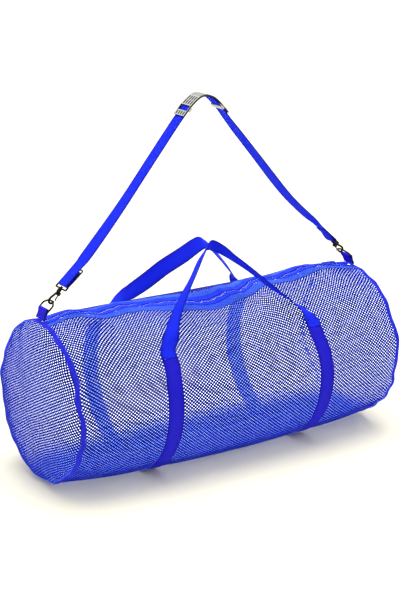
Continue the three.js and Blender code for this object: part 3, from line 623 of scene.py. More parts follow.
def net_lattice(rows, columns, present, place, reach, flip, covered=None, shared=False):
    """Diamond net: crossings in rows half a cell apart, each tied to the two nearest ones of the next row.

    place(row, column, lift) gives points for fractional rows and columns; reach is the distance from a
    crossing to the corners of the holes round it, in rows and in columns. Covered crossings have a band
    behind them. A shared last row has its knots in the next net.
    """
    odd = np.arange(rows)[:, None] % 2
    row, column = np.broadcast_arrays(np.arange(rows)[:, None], np.arange(columns)[None, :] + 0.5 * odd)
    layers = [
        place(row + step_row, column + step_column, lift)
        for lift in (YARN_HEIGHT, -YARN_HEIGHT) for step_row, step_column in CORNER_STEPS * reach
    ]
    points = np.stack(layers, 2).reshape(-1, 3)
    first = len(layers) * np.arange(row.size).reshape(row.shape)
    padded = np.pad(present, 1)

    def tied(step_row, step_column):
        """Where a crossing and its neighbour at that step are both there."""
        next_row = np.arange(rows)[:, None] + 1 + step_row
        next_column = np.arange(columns)[None, :] + 1 + step_column
        return present & padded[next_row, next_column]

    inside = np.ones(row.shape) if covered is None else np.where(covered, COVERED_MARK, 1.0)
    knots = present & ~(shared & (row == rows - 1))
    blocks = bar_faces(first[knots][:, None] + [EAST, NORTH, WEST, SOUTH], ())
    faces, marks = blocks, [0.0, inside[knots]]
    for step_column, ring in ((odd, (EAST, SOUTH, WEST, NORTH)), (odd - 1, (SOUTH, WEST, NORTH, EAST))):
        r, c = np.nonzero(tied(1, step_column))
        here, there = first[r, c], first[r + 1, c + step_column[r, 0]]
        bars = np.stack([here, there, there, here], -1) + ring
        cut_ends = bars[~knots[r + 1, c + step_column[r, 0]]]
        faces += bar_faces(bars, ((0, 1), (2, 3))) + bar_faces(cut_ends, ((1, 2),))[2:]
        marks += [STRAND_MARK, inside[r, c], FLANK_MARK, FLANK_MARK, FLANK_MARK]
    sides = (
        ((1, odd), EAST, NORTH), ((-1, odd), NORTH, WEST),
        ((-1, odd - 1), WEST, SOUTH), ((1, odd - 1), SOUTH, EAST),
    )
    for step, a, b in sides:
        free = first[knots & ~tied(*step)][:, None]
        faces.append(free + [a + 4, b + 4, b, a])
        marks.append(FLANK_MARK)
    used, numbers = np.unique(np.concatenate([f.ravel() for f in faces]), return_inverse=True)
    quads = numbers.reshape(-1, 4)
    inner = np.concatenate([np.broadcast_to(mark, len(f)) for mark, f in zip(marks, faces)])
    return points[used], flipped([quads]) if flip else [quads], inner


print("diamonds of", CELL_ALONG, "by", CELL_ROUND, "mm")

# %% [markdown]
# ### Net of the tube
# One mesh would be too large to handle, so the tube's net is made in three lengths. Each has a whole number
# of double rows, so the diamonds run on across the joins.

# %% Net of the tube, in three lengths
NET_RADIUS = 190
TUBE_EDGE = SEAM_HALF - 1
TUBE_ROUND = 2 * (np.pi - SLIT) * NET_RADIUS
TUBE_ROWS = 6 * round(TUBE_EDGE * 2 / CELL_ALONG / 3) + 1
NET_SKEW = 0.0625
NET_REACH = (YARN_HALF * 2 ** 0.5 / (CELL_ALONG / 2), YARN_HALF * 2 ** 0.5 / CELL_ROUND)


def tube_net(first_row, rows, v_from, v_to, shift, lift, swell=1.0, narrow=0.0, shared=False):
    """Net over a stretch of tube: rows go along the bag, columns round it, with the cloth's slight skew.

    Crossings are kept between v_from and v_to, over a width that loses the share narrow towards the ends.
    Shift moves the columns, lift moves the net in or out and swell thickens its yarn.
    """
    spare = 4
    first_column = int(v_from * TUBE_ROUND / CELL_ROUND) - spare
    columns = int((v_to - v_from) * TUBE_ROUND / CELL_ROUND) + 2 * spare

    def spot(row, column):
        """Place along the bag, and share of the way round, from a row and a column."""
        x = np.clip(2 * TUBE_EDGE * (row + first_row) / (TUBE_ROWS - 1) - TUBE_EDGE, -TUBE_EDGE, TUBE_EDGE)
        return x, ((column + first_column + shift) * CELL_ROUND - NET_SKEW * x) / TUBE_ROUND

    def place(row, column, offset):
        """Point of the tube at a row and a column."""
        x, v = spot(row, column)
        return body_point(x, net_angle(x, np.clip(v, 0, 1)), offset + lift)

    row, column = np.meshgrid(np.arange(rows), np.arange(columns), indexing="ij")
    x, v = spot(row, column + 0.5 * (row % 2))
    width = (v_to - v_from) * (1 - narrow * (x / SEAM_HALF) ** 2)
    kept = (v >= v_from) & (v <= v_to) & (np.minimum(v, 1 - v) <= width)
    nearest = np.abs(x[..., None] - list(BANDS.values())).min(-1)
    covered = (nearest < WEBBING_WIDTH / 2) & (np.minimum(v, 1 - v) > STITCH_V)
    reach = swell * np.array(NET_REACH)
    return net_lattice(rows, columns, kept, place, reach, True, covered, shared)


third = (TUBE_ROWS - 1) // 3
for k, name in enumerate(("left", "middle", "right")):
    points, faces, inner = tube_net(k * third, third + 1, 0, 1, 0, -YARN_HEIGHT, shared=k < 2)
    piece = dress(new_piece(f"net_{name}", points, faces, inner=inner), net_yarn, "net", "body_panel")

# %% [markdown]
# ### Hem
# Along the zip the net is turned under and sewn double, which reads as a closer strip. A second strip of
# net just outside the first does this, half a cell out of step.

# %% Doubled hem beside the zip
HEM_WIDTH = 30
HEM_NARROWS = 0.55
HEM_LIFT = 1.2 * YARN_HEIGHT
HEM_SWELL = 0.8
hem_v = HEM_WIDTH / TUBE_ROUND
for name, v_from, v_to in (("front", 0.0, hem_v), ("back", 1 - hem_v, 1.0)):
    points, faces, inner = tube_net(
        0, TUBE_ROWS, v_from, v_to, 0.5, HEM_LIFT, swell=HEM_SWELL, narrow=HEM_NARROWS)
    piece = dress(new_piece(f"net_hem_{name}", points, faces, inner=inner), hem_yarn, "net")

# %% [markdown]
# ### Puffed ends
# The ends are discs of the same net, cut flat and sewn in a little turned, so their diamonds stay straight
# across the end. The disc is laid on the puffed form by its arc length from the middle.

# %% Net of the puffed ends
ARC_STEPS = 400
RIM_TURN = 0.02
DISC_SPARE = 1
arc_turn = np.linspace(np.pi / 2, RIM_TURN, ARC_STEPS)
arc_rise = np.sin(arc_turn) ** (2 / DOME_POWER) * DOME_DEPTH
arc_spread = np.cos(arc_turn) ** (2 / DOME_POWER) * RIM_RADIUS
arc_length = np.concatenate([[0], np.cumsum(np.hypot(np.diff(arc_rise), np.diff(arc_spread)))])
DISC_RADIUS = float(arc_length[-1])
DISC_TURN = np.radians(14.5)
disc_rows = 2 * round(2 * DISC_RADIUS / CELL_ALONG) + 1
disc_columns = round(2 * DISC_RADIUS / CELL_ROUND) + 1


def disc_spot(row, column):
    """Place on the flat disc, back and up from its middle: rows and columns turned by the disc's turn."""
    across = (row - (disc_rows - 1) / 2) * CELL_ALONG / 2
    along = (column - (disc_columns - 1) / 2) * CELL_ROUND
    back = np.cos(DISC_TURN) * across - np.sin(DISC_TURN) * along
    return back, np.sin(DISC_TURN) * across + np.cos(DISC_TURN) * along


def disc_place(side):
    """Place function of a disc: its distance from the middle becomes arc length along the puffed end."""
    def place(row, column, offset):
        """Point of the end at a row and a column."""
        back, up = disc_spot(row, column)
        turn = np.interp(np.hypot(back, up), arc_length, arc_turn)
        return dome_point(side, turn, np.arctan2(back, up), offset - YARN_HEIGHT)
    return place


disc_row, disc_column = np.meshgrid(np.arange(disc_rows), np.arange(disc_columns), indexing="ij")
disc_reach = np.hypot(*disc_spot(disc_row, disc_column + 0.5 * (disc_row % 2)))
disc_present = disc_reach < DISC_RADIUS + DISC_SPARE
for name, side in (("left", -1), ("right", 1)):
    points, faces, inner = net_lattice(
        disc_rows, disc_columns, disc_present, disc_place(side), NET_REACH, side < 0)
    piece = new_piece(f"net_end_{name}", points, faces, inner=inner)
    dress(piece, net_yarn, "net", f"end_panel_{name}")
print("disc cut to", round(2 * DISC_RADIUS), "mm across")

# %% [markdown]
# ## Webbing on a path
# Bands, handles, tabs and strap are the same woven webbing. Its section is a flat lens with soft edges,
# carried along a path with a direction for its width. The path runs smoothly through a few named places.

# %% Paths and ribbons
LENS_POWERS = (0.35, 0.7)


def smooth_path(rows, samples):
    """Centripetal Catmull-Rom curve: a cubic in each span, along the mean slopes at both of its ends."""
    rows = np.asarray(rows, float)
    ends = np.concatenate([[2 * rows[0] - rows[1]], rows, [2 * rows[-1] - rows[-2]]])
    t = np.asarray(samples, float) * (len(rows) - 1)
    i = np.minimum(t.astype(int), len(rows) - 2)
    w = (t - i)[:, None]
    p0, p1, p2, p3 = (ends[i + k] for k in range(4))
    spans = ((p0, p1), (p1, p2), (p2, p3))
    d0, d1, d2 = (np.maximum(np.linalg.norm(b - a, axis=1, keepdims=True), 1e-9) ** 0.5 for a, b in spans)
    slope1 = ((p1 - p0) / d0 - (p2 - p0) / (d0 + d1) + (p2 - p1) / d1) * d1
    slope2 = ((p2 - p1) / d1 - (p3 - p1) / (d1 + d2) + (p3 - p2) / d2) * d1
    square = 3 * (p2 - p1) - 2 * slope1 - slope2
    cube = 2 * (p1 - p2) + slope1 + slope2
    return p1 + slope1 * w + square * w ** 2 + cube * w ** 3


def path_length(path):
    """Length of a path from its start to each point: a running sum of its steps."""
    return np.concatenate([[0], np.cumsum(np.linalg.norm(np.diff(path, axis=0), axis=1))])


def lens_section(width, thickness, count=22):
    """Flat rounded section: a superellipse, as rows of across and up."""
    angle = np.linspace(0, 2 * np.pi, count, endpoint=False) + np.pi / count
    across = width / 2 * np.sign(np.cos(angle)) * np.abs(np.cos(angle)) ** LENS_POWERS[0]
    up = thickness / 2 * np.sign(np.sin(angle)) * np.abs(np.sin(angle)) ** LENS_POWERS[1]
    return across, up


def ribbon(path, width_direction, width=WEBBING_WIDTH, thickness=WEBBING_THICKNESS):
    """Lens section along a path: across its width direction and up the normal of path and width."""
    along = unit(np.gradient(path, axis=0))
    side = unit(width_direction)
    normal = unit(np.cross(along, side))
    across, up = lens_section(width, thickness)
    sections = path[:, None] + across[None, :, None] * side[:, None] + up[None, :, None] * normal[:, None]
    points, faces = swept(sections)
    return points, flipped(faces), strip_uv(across, path_length(path))


def webbing_piece(name, path, width_direction, material, *nodes):
    """A ribbon as a dressed piece."""
    points, faces, uv = ribbon(path, np.broadcast_to(np.asarray(width_direction, float), path.shape))
    piece = dress(new_piece(name, points, faces, uv), material, "webbing", *nodes)
    return piece


# %% [markdown]
# ## Girth bands
# Two bands run under the bag from one stitch line to the other. A band lies on the net, so it is the
# tube's own surface, lifted by the webbing's thickness, over the width of the band.

# %% Girth bands
BAND_LEAN = {BANDS["left"]: 5, BANDS["right"]: -13}
LEAN_REACH = 0.045
BAND_STEPS = 160
BAND_LIFT = GAP + WEBBING_THICKNESS / 2
band_v = np.linspace(STITCH_V, 1 - STITCH_V, BAND_STEPS)
across, up = lens_section(WEBBING_WIDTH, WEBBING_THICKNESS)


def band_points(centre, s, v, lift):
    """Point of a band: s across it from its centre line, v round the bag, at a lift from the net.

    Near its front stitch line a band leans towards the middle of the bag, the way its handle pulls it.
    """
    x = centre + s + BAND_LEAN[centre] * np.exp(-(((v - STITCH_V) / LEAN_REACH) ** 2))
    return body_point(x, net_angle(x, v), lift)


for name, centre in BANDS.items():
    sections = band_points(centre, across[None, :], band_v[:, None], BAND_LIFT + up[None, :])
    middle = band_points(centre, 0.0, band_v, GAP)
    uv = strip_uv(across, path_length(middle))
    points, faces = swept(sections)
    inner = np.broadcast_to(up < 0, sections.shape[:2]).ravel()
    piece = new_piece(f"band_{name}", points, faces, uv, inner=inner)
    dress(piece, band_webbing_shaded, "webbing", f"girth_band_{name}")

# %% [markdown]
# ## Handles
# Above the stitch lines the webbing leaves the net, twists and rises to a peak. The tables give the
# centre of the webbing and the direction of its width; where it would sink into the net it is pushed out.

# %% Handles
# Columns: centre x, y, z, then the direction of the width
HANDLE_FRONT = np.array([
    (-170, -131, 331, 0.45, -0.85, 0.28), (-132, -100, 373, 0.2, -0.88, 0.42),
    (-96, -77, 405, 0.11, -0.85, 0.51), (-65, -59, 431, 0.02, -0.82, 0.57),
    (-29, -36, 463, -0.01, -0.8, 0.6), (-4, -27, 482, -0.1, -0.62, 0.78),
    (22, -31, 471, -0.04, -0.76, 0.65), (48, -43, 450, -0.12, -0.88, 0.46),
    (82, -62, 421, -0.2, -0.9, 0.38), (127, -97, 376, -0.28, -0.9, 0.34),
    (158, -119, 349, -0.45, -0.85, 0.22), (182, -138, 324, -0.8, -0.55, 0.15),
])
HANDLE_BACK = np.array([
    (-153, 130, 334, 0.45, 0.82, 0.38), (-131, 104, 362, -0.05, 0.77, 0.63),
    (-103, 83, 388, -0.2, 0.64, 0.74), (-71, 60, 420, -0.23, 0.61, 0.76),
    (-28, 45, 447, -0.2, 0.64, 0.74), (-2, 38, 464, -0.07, 0.73, 0.68),
    (16, 36, 471, 0.04, 0.82, 0.57), (36, 41, 461, 0.14, 0.88, 0.43),
    (68, 55, 434, 0.31, 0.9, 0.31), (116, 85, 391, 0.3, 0.9, 0.31),
    (158, 115, 352, 0.2, 0.93, 0.31), (184, 138, 324, -0.5, 0.82, 0.27),
])
# How far above its stitch line a foot lies on the net, in the solids' steps round the tube
FOOT_LEADS = np.array([0.0, 0.5])
HANDLE_STEPS = 150


def handle_rows(table, back):
    """The table's rows between the feet, which climb straight up the net from both stitch lines."""
    steps = STITCH_V - FOOT_LEADS / ROUND_STEPS
    v = 1 - steps if back else steps
    feet = [band_points(centre, 0.0, v, BAND_LIFT) for centre in BANDS.values()]
    toward = np.array([1.0, 0.0, 0.0])
    left = np.hstack([feet[0], np.tile(toward, (len(v), 1))])
    right = np.hstack([feet[1], np.tile(-toward, (len(v), 1))])
    return np.concatenate([left, table, right[::-1]])


def clear_of_net(path, side):
    """Path pushed away from the bag's axis until the webbing's middle and both edges lie on the net."""
    edges = path[None] + np.array([-1, 0, 1])[:, None, None] * side[None] * WEBBING_WIDTH / 2
    height = edges[..., 2] - CENTRE_HEIGHT
    depth = body_radius(edges[..., 0], np.arctan2(edges[..., 1], height)) - np.hypot(edges[..., 1], height)
    push = np.maximum(depth.max(0) + WEBBING_THICKNESS / 2 + 3 * GAP, 0)
    away = unit(path * [0, 1, 1] - [0, 0, CENTRE_HEIGHT])
    return path + push[:, None] * away


for name, table, back in (("front", HANDLE_FRONT, False), ("back", HANDLE_BACK, True)):
    rows = handle_rows(table, back)
    samples = np.linspace(0, 1, HANDLE_STEPS)
    path = smooth_path(rows[:, :3], samples)
    side = unit(smooth_path(rows[:, 3:], samples))
    webbing_piece(f"carry_handle_{name}", clear_of_net(path, side), side, webbing, f"handle_{name}")

# %% [markdown]
# ## Seam bindings
# A narrow tape is folded over each seam and pulled into waves by its stitching. Its outer face is a low
# arch from the tube over to the end, worked out on the same surfaces, so it follows every gather.

# %% Seam bindings
BINDING_HALF = 6.5
BINDING_THICKNESS = 2.2
BINDING_EDGE = 0.5
BINDING_STEPS = 420
ARCH_POINTS = 9
# Share of the half width that the thread pulls in, on the end's and on the tube's edge
END_PULL, TUBE_PULL = 0.12, 0.28
binding_angle = np.linspace(0, -2 * np.pi, BINDING_STEPS, endpoint=False)
arch = np.linspace(-1, 1, ARCH_POINTS)


def seam_point(side, s, angle, offset):
    """Point near a seam: s is the distance from it, negative on the tube and positive on the end."""
    turn = np.arcsin((np.maximum(s, 0) / DOME_DEPTH) ** (DOME_POWER / 2))
    on_tube = body_point(side * (SEAM_HALF + np.minimum(s, 0)), angle, np.minimum(offset, NET_BASE))
    return np.where((s <= 0)[..., None], on_tube, dome_point(side, turn, angle, np.minimum(offset, NET_BASE)))


def pulled_in(angle, edge):
    """Share of the binding's half width at an angle: less in the troughs of seventeen and of 29 waves."""
    wave = 0.6 * np.sin(17 * angle + 2 * edge) + 0.4 * np.sin(29 * angle + 1.3 * edge + 2 * np.sin(4 * angle))
    return 1 - np.where(edge > 0, END_PULL, TUBE_PULL) * (1 - wave)


for name, side in (("left", -1), ("right", 1)):
    s = np.concatenate([arch, arch[::-1]]) * BINDING_HALF
    top = GAP + BINDING_EDGE + BINDING_THICKNESS * (1 - 0.5 * arch ** 2)
    lift = np.concatenate([top, np.full(ARCH_POINTS, GAP)])
    angle_grid = np.broadcast_to(binding_angle[:, None], (len(binding_angle), len(s)))
    s_grid = s[None, :] * pulled_in(angle_grid, np.sign(s)[None, :])
    sections = seam_point(side, s_grid, angle_grid, np.broadcast_to(lift[None, :], s_grid.shape))
    points, faces = swept(sections, closed=True)
    ring = path_length(sections[:, ARCH_POINTS // 2])
    uv = strip_uv(s, ring)
    faces = flipped(faces) if side < 0 else faces
    inner = np.broadcast_to(lift <= GAP, sections.shape[:2]).ravel()
    piece = new_piece(f"binding_{name}", points, faces, uv, inner=inner)
    dress(piece, binding_tape, "webbing", f"rim_binding_{name}")

# %% [markdown]
# ## Zip
# The zip is two woven tapes with a row of coils between them. Tapes are strips of the tube's surface; each
# coil is a small bent bar, and all of them are one mesh, made by placing the same few points many times.

# %% Zip tapes
TAPE_THICKNESS = 1.2
TAPE_INSET = 0.6
TAPE_STEPS, TAPE_POINTS = 320, 34
# The tape's outer edge laps over the net: its extra width, its rise, and the start and reach of the ramp
TAPE_LAP = 3.6
LAP_RISE = 1.3
LAP_START, LAP_REACH = 3, 2.4
tape_x = np.linspace(-SEAM_HALF + TAPE_INSET, SEAM_HALF - TAPE_INSET, TAPE_STEPS)


def zip_point(x, out, lift):
    """Point beside the zip's middle line: out round the bag from it, at a lift from the cloth."""
    return body_point(x, zip_angle(x) + out / RIM_RADIUS, lift)


tape_s, tape_up = lens_section(TAPE_WIDTH + TAPE_LAP, TAPE_THICKNESS, TAPE_POINTS)
for name, sign in (("front", -1), ("back", 1)):
    out = sign * (CHAIN_HALF + GAP + (TAPE_WIDTH + TAPE_LAP) / 2) + tape_s
    lap = np.clip((np.abs(out) - CHAIN_HALF - TAPE_WIDTH + LAP_START) / LAP_REACH, 0, 1)
    lap_lift = LAP_RISE * lap * lap * (3 - 2 * lap)
    lift = (tape_up + lap_lift)[None, :] - TAPE_THICKNESS / 2
    sections = zip_point(tape_x[:, None], out[None, :], lift)
    ring = path_length(zip_point(tape_x, 0.0, 0.0))
    points, faces = swept(sections)
    piece = new_piece(f"zip_cloth_{name}", points, flipped(faces), strip_uv(tape_s, ring))
    dress(piece, zip_cloth, "zip_tape", f"zip_tape_{name}")

# %% [markdown]
# ### Moulded and plated finishes
# Coils and slide are moulded and the fittings are plated. One recipe does for all: an even colour, darker
# in patches, with smudges that change how sharply it reflects.

# %% Moulded and plated finishes
SMUDGE_PATCH = 60.0
SMUDGE = 0.2
PATCH_SHADE = 0.7


def smooth_material(name, colour, roughness, metallic=0.0, gloss=0.5):
    """Moulded or plated finish: an even colour with faint smudges in its roughness."""
    material, tree, shader, fade = new_material(name, roughness, metallic)
    shader.inputs["Specular IOR Level"].default_value = gloss
    fade.inputs["Patch"].default_value = SMUDGE_PATCH
    shade = tuple(PATCH_SHADE * c for c in colour[:3]) + (1.0,)
    tree.links.new(mixed(tree, fade.outputs["Fade"], colour, shade), shader.inputs["Base Color"])
    smudge = maths(tree, "MULTIPLY", fade.outputs["Fuzz"], SMUDGE)
    tree.links.new(maths(tree, "ADD", smudge, roughness - SMUDGE / 2), shader.inputs["Roughness"])
    return material


coil_plastic = smooth_material("coil plastic", srgb(26, 40, 205), 0.6, gloss=0.08)
black_nickel = smooth_material("black nickel", srgb(38, 37, 38), 0.3, 1.0)
black_plastic = smooth_material("black plastic", srgb(22, 22, 25), 0.4)
print("smooth finishes:", coil_plastic.name, black_nickel.name, black_plastic.name)

# %% [markdown]
# ### Coils
# A closed zip shows one coil after another across its middle. Each is a short arched bar of four rings of
# six points, and wide enough to leave no gap to the next.

# %% Coils
COIL_PITCH = 2.6
COIL_INSET = 8
COIL_RINGS, COIL_SIDES = 4, 6
COIL_HALF, COIL_HEIGHT, COIL_ARCH = 1.24, 0.8, 0.5
coil_x = np.arange(-SEAM_HALF + COIL_INSET, SEAM_HALF - COIL_INSET, COIL_PITCH)
coil_turn = np.linspace(0, 2 * np.pi, COIL_SIDES, endpoint=False)
coil_out = np.linspace(-1, 1, COIL_RINGS) * CHAIN_HALF
coil_lift = COIL_ARCH * (1 - (coil_out / CHAIN_HALF) ** 2)
coil_points = zip_point(
    coil_x[:, None, None] + COIL_HALF * np.cos(coil_turn)[None, None, :],
    np.broadcast_to(coil_out[None, :, None], (len(coil_x), COIL_RINGS, COIL_SIDES)),
    coil_lift[None, :, None] + COIL_HEIGHT * np.sin(coil_turn)[None, None, :],
)
coil_faces = swept(coil_points[0])[1]
steps = np.arange(len(coil_x))[:, None, None] * COIL_RINGS * COIL_SIDES
faces = [(f[None] + steps).reshape(-1, f.shape[1]) for f in coil_faces]
dress(new_piece("zip_coils", coil_points.reshape(-1, 3), faces), coil_plastic, "zip_plastic", "zip_chain")

# %% [markdown]
# ## Fittings
# The rings, hooks and eyes are bent wire and small turned lumps, with everything drawn for the left end
# and mirrored for the right. Wire is a circle carried along a flat line with rounded corners; a lump is a
# superellipsoid, a ball squared towards a box.

# %% Fitting shapes
RING_FOOT = np.array([-405.6, 0.0, 393.6])
RING_TOP = np.array([-388.0, 0.0, 409.6])
HOOK_AXIS = unit(np.array([0.72, 0.0, 0.695]))
HOOK_SIDE = np.array([HOOK_AXIS[2], 0.0, -HOOK_AXIS[0]])
ACROSS = np.array([0.0, 1.0, 0.0])
WIRE_RADIUS = 2.0
POLE_GAP = 0.02
BEND_STEPS = 7


def rounded_line(corners, radius, steps, closed):
    """Line through corners, each replaced by a parabola between points at radius from it."""
    corners = np.asarray(corners, float)
    before = unit(np.roll(corners, 1, 0) - corners) * radius
    after = unit(np.roll(corners, -1, 0) - corners) * radius
    t = np.linspace(0, 1, steps)[None, :, None]
    bends = corners[:, None] + before[:, None] * (1 - t) ** 2 + after[:, None] * t ** 2
    if closed:
        return bends.reshape(-1, 3)
    return np.concatenate([corners[:1], bends[1:-1].reshape(-1, 3), corners[-1:]])


def wire(path, plane_normal, radius, closed=False, sides=16, squash=1.0):
    """Round bar: circle along a flat path, its plane spanned by the path's side and the plane's normal."""
    if closed:
        along = unit(np.roll(path, -1, 0) - np.roll(path, 1, 0))
    else:
        along = unit(np.gradient(path, axis=0))
    side = unit(np.cross(along, plane_normal))
    turn = np.linspace(0, 2 * np.pi, sides, endpoint=False)
    radius = np.broadcast_to(radius, len(path))[:, None, None]
    circle = np.cos(turn)[None, :, None] * side[:, None] + squash * np.sin(turn)[None, :, None] * plane_normal
    return swept(path[:, None] + radius * circle, closed)


def turned(profile, base, axis, sides=20):
    """Turned lump: a profile of rows (radius, height) spun about an axis."""
    profile = np.asarray(profile, float)
    first = unit(np.cross(axis, ACROSS))
    second = np.cross(axis, first)
    turn = np.linspace(0, 2 * np.pi, sides, endpoint=False)
    spoke = np.cos(turn)[:, None] * first + np.sin(turn)[:, None] * second
    sections = base + profile[:, 1, None, None] * axis + profile[:, 0, None, None] * spoke[None]
    return swept(sections)


def lump(centre, directions, half_sizes, power=0.35, count=14):
    """Superellipsoid: powers of sine and cosine of two angles; a low power squares a ball into a box."""
    def bend(value):
        """The power of a value, with the value's own sign."""
        return np.sign(value) * np.abs(value) ** power
    tilt = np.linspace(-np.pi / 2 + POLE_GAP, np.pi / 2 - POLE_GAP, count)[:, None]
    turn = np.linspace(0, 2 * np.pi, 2 * count, endpoint=False)[None, :]
    wide = bend(np.cos(tilt)) * bend(np.cos(turn))
    deep = bend(np.cos(tilt)) * bend(np.sin(turn))
    high = bend(np.sin(tilt))
    local = np.stack(np.broadcast_arrays(wide, deep, high), -1)
    return swept(centre + (local * half_sizes) @ np.asarray(directions))


def hook_point(up, sideways, y=0.0):
    """Points of the left hook: up its axis from the ring's wire, sideways to the gate, and across the bag."""
    up, sideways, y = (np.asarray(value, float)[..., None] for value in (up, sideways, y))
    return RING_TOP + up * HOOK_AXIS + sideways * HOOK_SIDE + y * ACROSS


def outward(shell):
    """The shell with its faces turned out, told from the sign of its volume."""
    points, faces = shell
    volume = sum(
        np.einsum("ij,ij->i", points[f[:, 0]], np.cross(points[f[:, k]], points[f[:, k + 1]])).sum()
        for f in faces for k in range(1, f.shape[1] - 1))
    return points, flipped(faces) if volume < 0 else faces


def fitting(name, shells, material, slot, node, side, body="bag"):
    """Shells of one fitting as a dressed piece, mirrored for the right end."""
    mirror = np.array([-side, 1, 1])
    points, faces = joined(*[outward((shell[0] * mirror, shell[1])) for shell in shells])
    return dress(new_piece(name, points, faces), material, slot, node, body=body)


# %% [markdown]
# ### Rings, hooks, gates and eyes
# A hook is one bent wire that thins to its tip, under a turned boss with two cheeks. The gate between the
# cheeks is a wire lever with a thumb nub, on a pin of its own, so it rides its own body.

# %% Rings
# Columns: across the bag, up the ring from its foot
RING_CORNERS = np.array([(-21.5, 0), (21.5, 0), (21.5, 15), (9, 24), (-9, 24), (-21.5, 15)])
RING_BEND = 4
ring_axis = unit(RING_TOP - RING_FOOT)
ring_line = RING_FOOT + RING_CORNERS[:, 1:] * ring_axis + RING_CORNERS[:, :1] * ACROSS
ring_bent = rounded_line(ring_line, RING_BEND, BEND_STEPS, True)
ring_shell = wire(ring_bent, np.cross(ring_axis, ACROSS), WIRE_RADIUS, closed=True)
print("ring line of", len(ring_line), "corners")

# %% Hooks and gates
HOOK_RADIUS = 2.5
TIP_RADII = (2.45, 2.35, 2.15, 1.6)
BEND_RADIUS = 6.2
BEND_UP, BEND_SIDE = 0.8, 0.6
# Columns: up the hook, sideways
SHANK = np.array([(25.5, -0.4), (19, -1.9), (12, -3.6), (6, -5.1)])
TIP = (3.6, 6.8)
# Columns: radius, height up the hook
BOSS = [
    (0.2, 23.2), (3.6, 23.2), (4.5, 24), (4.6, 27), (4.6, 30), (4.0, 31),
    (2.0, 31.2), (2.0, 36.8), (3.3, 36.9), (3.3, 38.2), (2.4, 38.6), (0.2, 38.6),
]
CHEEK_PLACE, CHEEK_SIZE, CHEEK_Y = (21.5, 4.2), (3.2, 4.2, 0.7), 3.5
PIN = np.array([20.5, 5.2])
LEVER = np.array([-14.1, 2.0])
LEVER_RADIUS = 1.4
NUB = np.array([(8.4, 6.8), (7.6, 8.6), (6.9, 10.2)])
NUB_RADII = np.array([1.5, 1.5, 1.1])
PIN_PROFILE = [(0.2, -2.5), (2.1, -2.4), (2.1, 2.4), (0.2, 2.5)]
# A touch off the axis, because a turned lump needs an axis that isn't straight across the bag
PIN_AXIS = ACROSS + 0.0001 * HOOK_AXIS

bend_turn = np.pi * (1 + np.linspace(0, 1, 22))
bend_line = hook_point(BEND_RADIUS * np.sin(bend_turn) + BEND_UP, BEND_RADIUS * np.cos(bend_turn) + BEND_SIDE)
hook_line = np.concatenate([hook_point(*SHANK.T), bend_line, hook_point(*TIP)[None]])
hook_thickness = np.concatenate([np.full(len(hook_line) - len(TIP_RADII), HOOK_RADIUS), TIP_RADII])
hook_axes = np.stack([HOOK_SIDE, HOOK_AXIS, ACROSS])
hook_shells = [wire(hook_line, ACROSS, hook_thickness), turned(BOSS, RING_TOP, HOOK_AXIS)]
hook_shells += [lump(hook_point(*CHEEK_PLACE, y), hook_axes, CHEEK_SIZE) for y in (-CHEEK_Y, CHEEK_Y)]

lever_share = np.linspace(0, 1, 6)
gate_line = hook_point(PIN[0] + LEVER[0] * lever_share, PIN[1] + LEVER[1] * lever_share)
gate_shells = [
    wire(gate_line, ACROSS, LEVER_RADIUS), wire(hook_point(*NUB.T), ACROSS, NUB_RADII),
    turned(PIN_PROFILE, hook_point(*PIN), PIN_AXIS),
]
print("hook of", len(hook_shells), "shells, gate of", len(gate_shells))

# %% Eyes and all fittings of both ends
EYE_LOW, EYE_BAR = 33.6, 44
EYE_CORNERS = np.array([(EYE_LOW, -22.4), (EYE_LOW, 22.4), (EYE_BAR, 21.4), (EYE_BAR, -21.4)])
EYE_BEND = 3
COLLAR_RADIUS, COLLAR_WIRE, COLLAR_TALL = 3.8, 1.2, 1.8
eye_line = hook_point(EYE_CORNERS[:, 0], 0, EYE_CORNERS[:, 1])
eye_bent = rounded_line(eye_line, EYE_BEND, BEND_STEPS, True)
eye_shell = wire(eye_bent, HOOK_SIDE, WIRE_RADIUS, closed=True)
collar_turn = np.linspace(0, 2 * np.pi, 24, endpoint=False)
collar_line = hook_point(EYE_LOW, COLLAR_RADIUS * np.cos(collar_turn), COLLAR_RADIUS * np.sin(collar_turn))
collar_shell = wire(collar_line, HOOK_AXIS, COLLAR_WIRE, closed=True, squash=COLLAR_TALL)

for name, side in (("left", -1), ("right", 1)):
    fitting(f"ring_{name}", [ring_shell], black_nickel, "fittings", f"d_ring_{name}", side)
    fitting(f"snap_{name}", hook_shells, black_nickel, "fittings", f"hook_{name}", side)
    gate = (f"gate_lever_{name}", gate_shells, black_nickel, "fittings", f"hook_gate_{name}", side)
    fitting(*gate, body=f"gate_{name}")
    fitting(f"eye_{name}", [eye_shell, collar_shell], black_nickel, "fittings", f"hook_eye_{name}", side)

# %% [markdown]
# ### Ring tabs
# The tabs are short lengths of webbing folded round the ring's lower bar, with both ends sewn down at the
# seam. Two straight runs and a half circle give the line, and a smooth path rounds it off.

# %% Ring tabs
TAB_FOOT, TAB_WAIST = 22, 9
TAB_STEPS = 60
TURN_STEPS = 13


def half_turn(bar, direction, radius, count):
    """Half circle round a bar, bulging in a direction, in the upright plane along the bag."""
    sideways = np.array([direction[2], 0, -direction[0]])
    angle = np.linspace(-np.pi / 2, np.pi / 2, count)[:, None]
    return bar + radius * (np.cos(angle) * direction + np.sin(angle) * sideways)


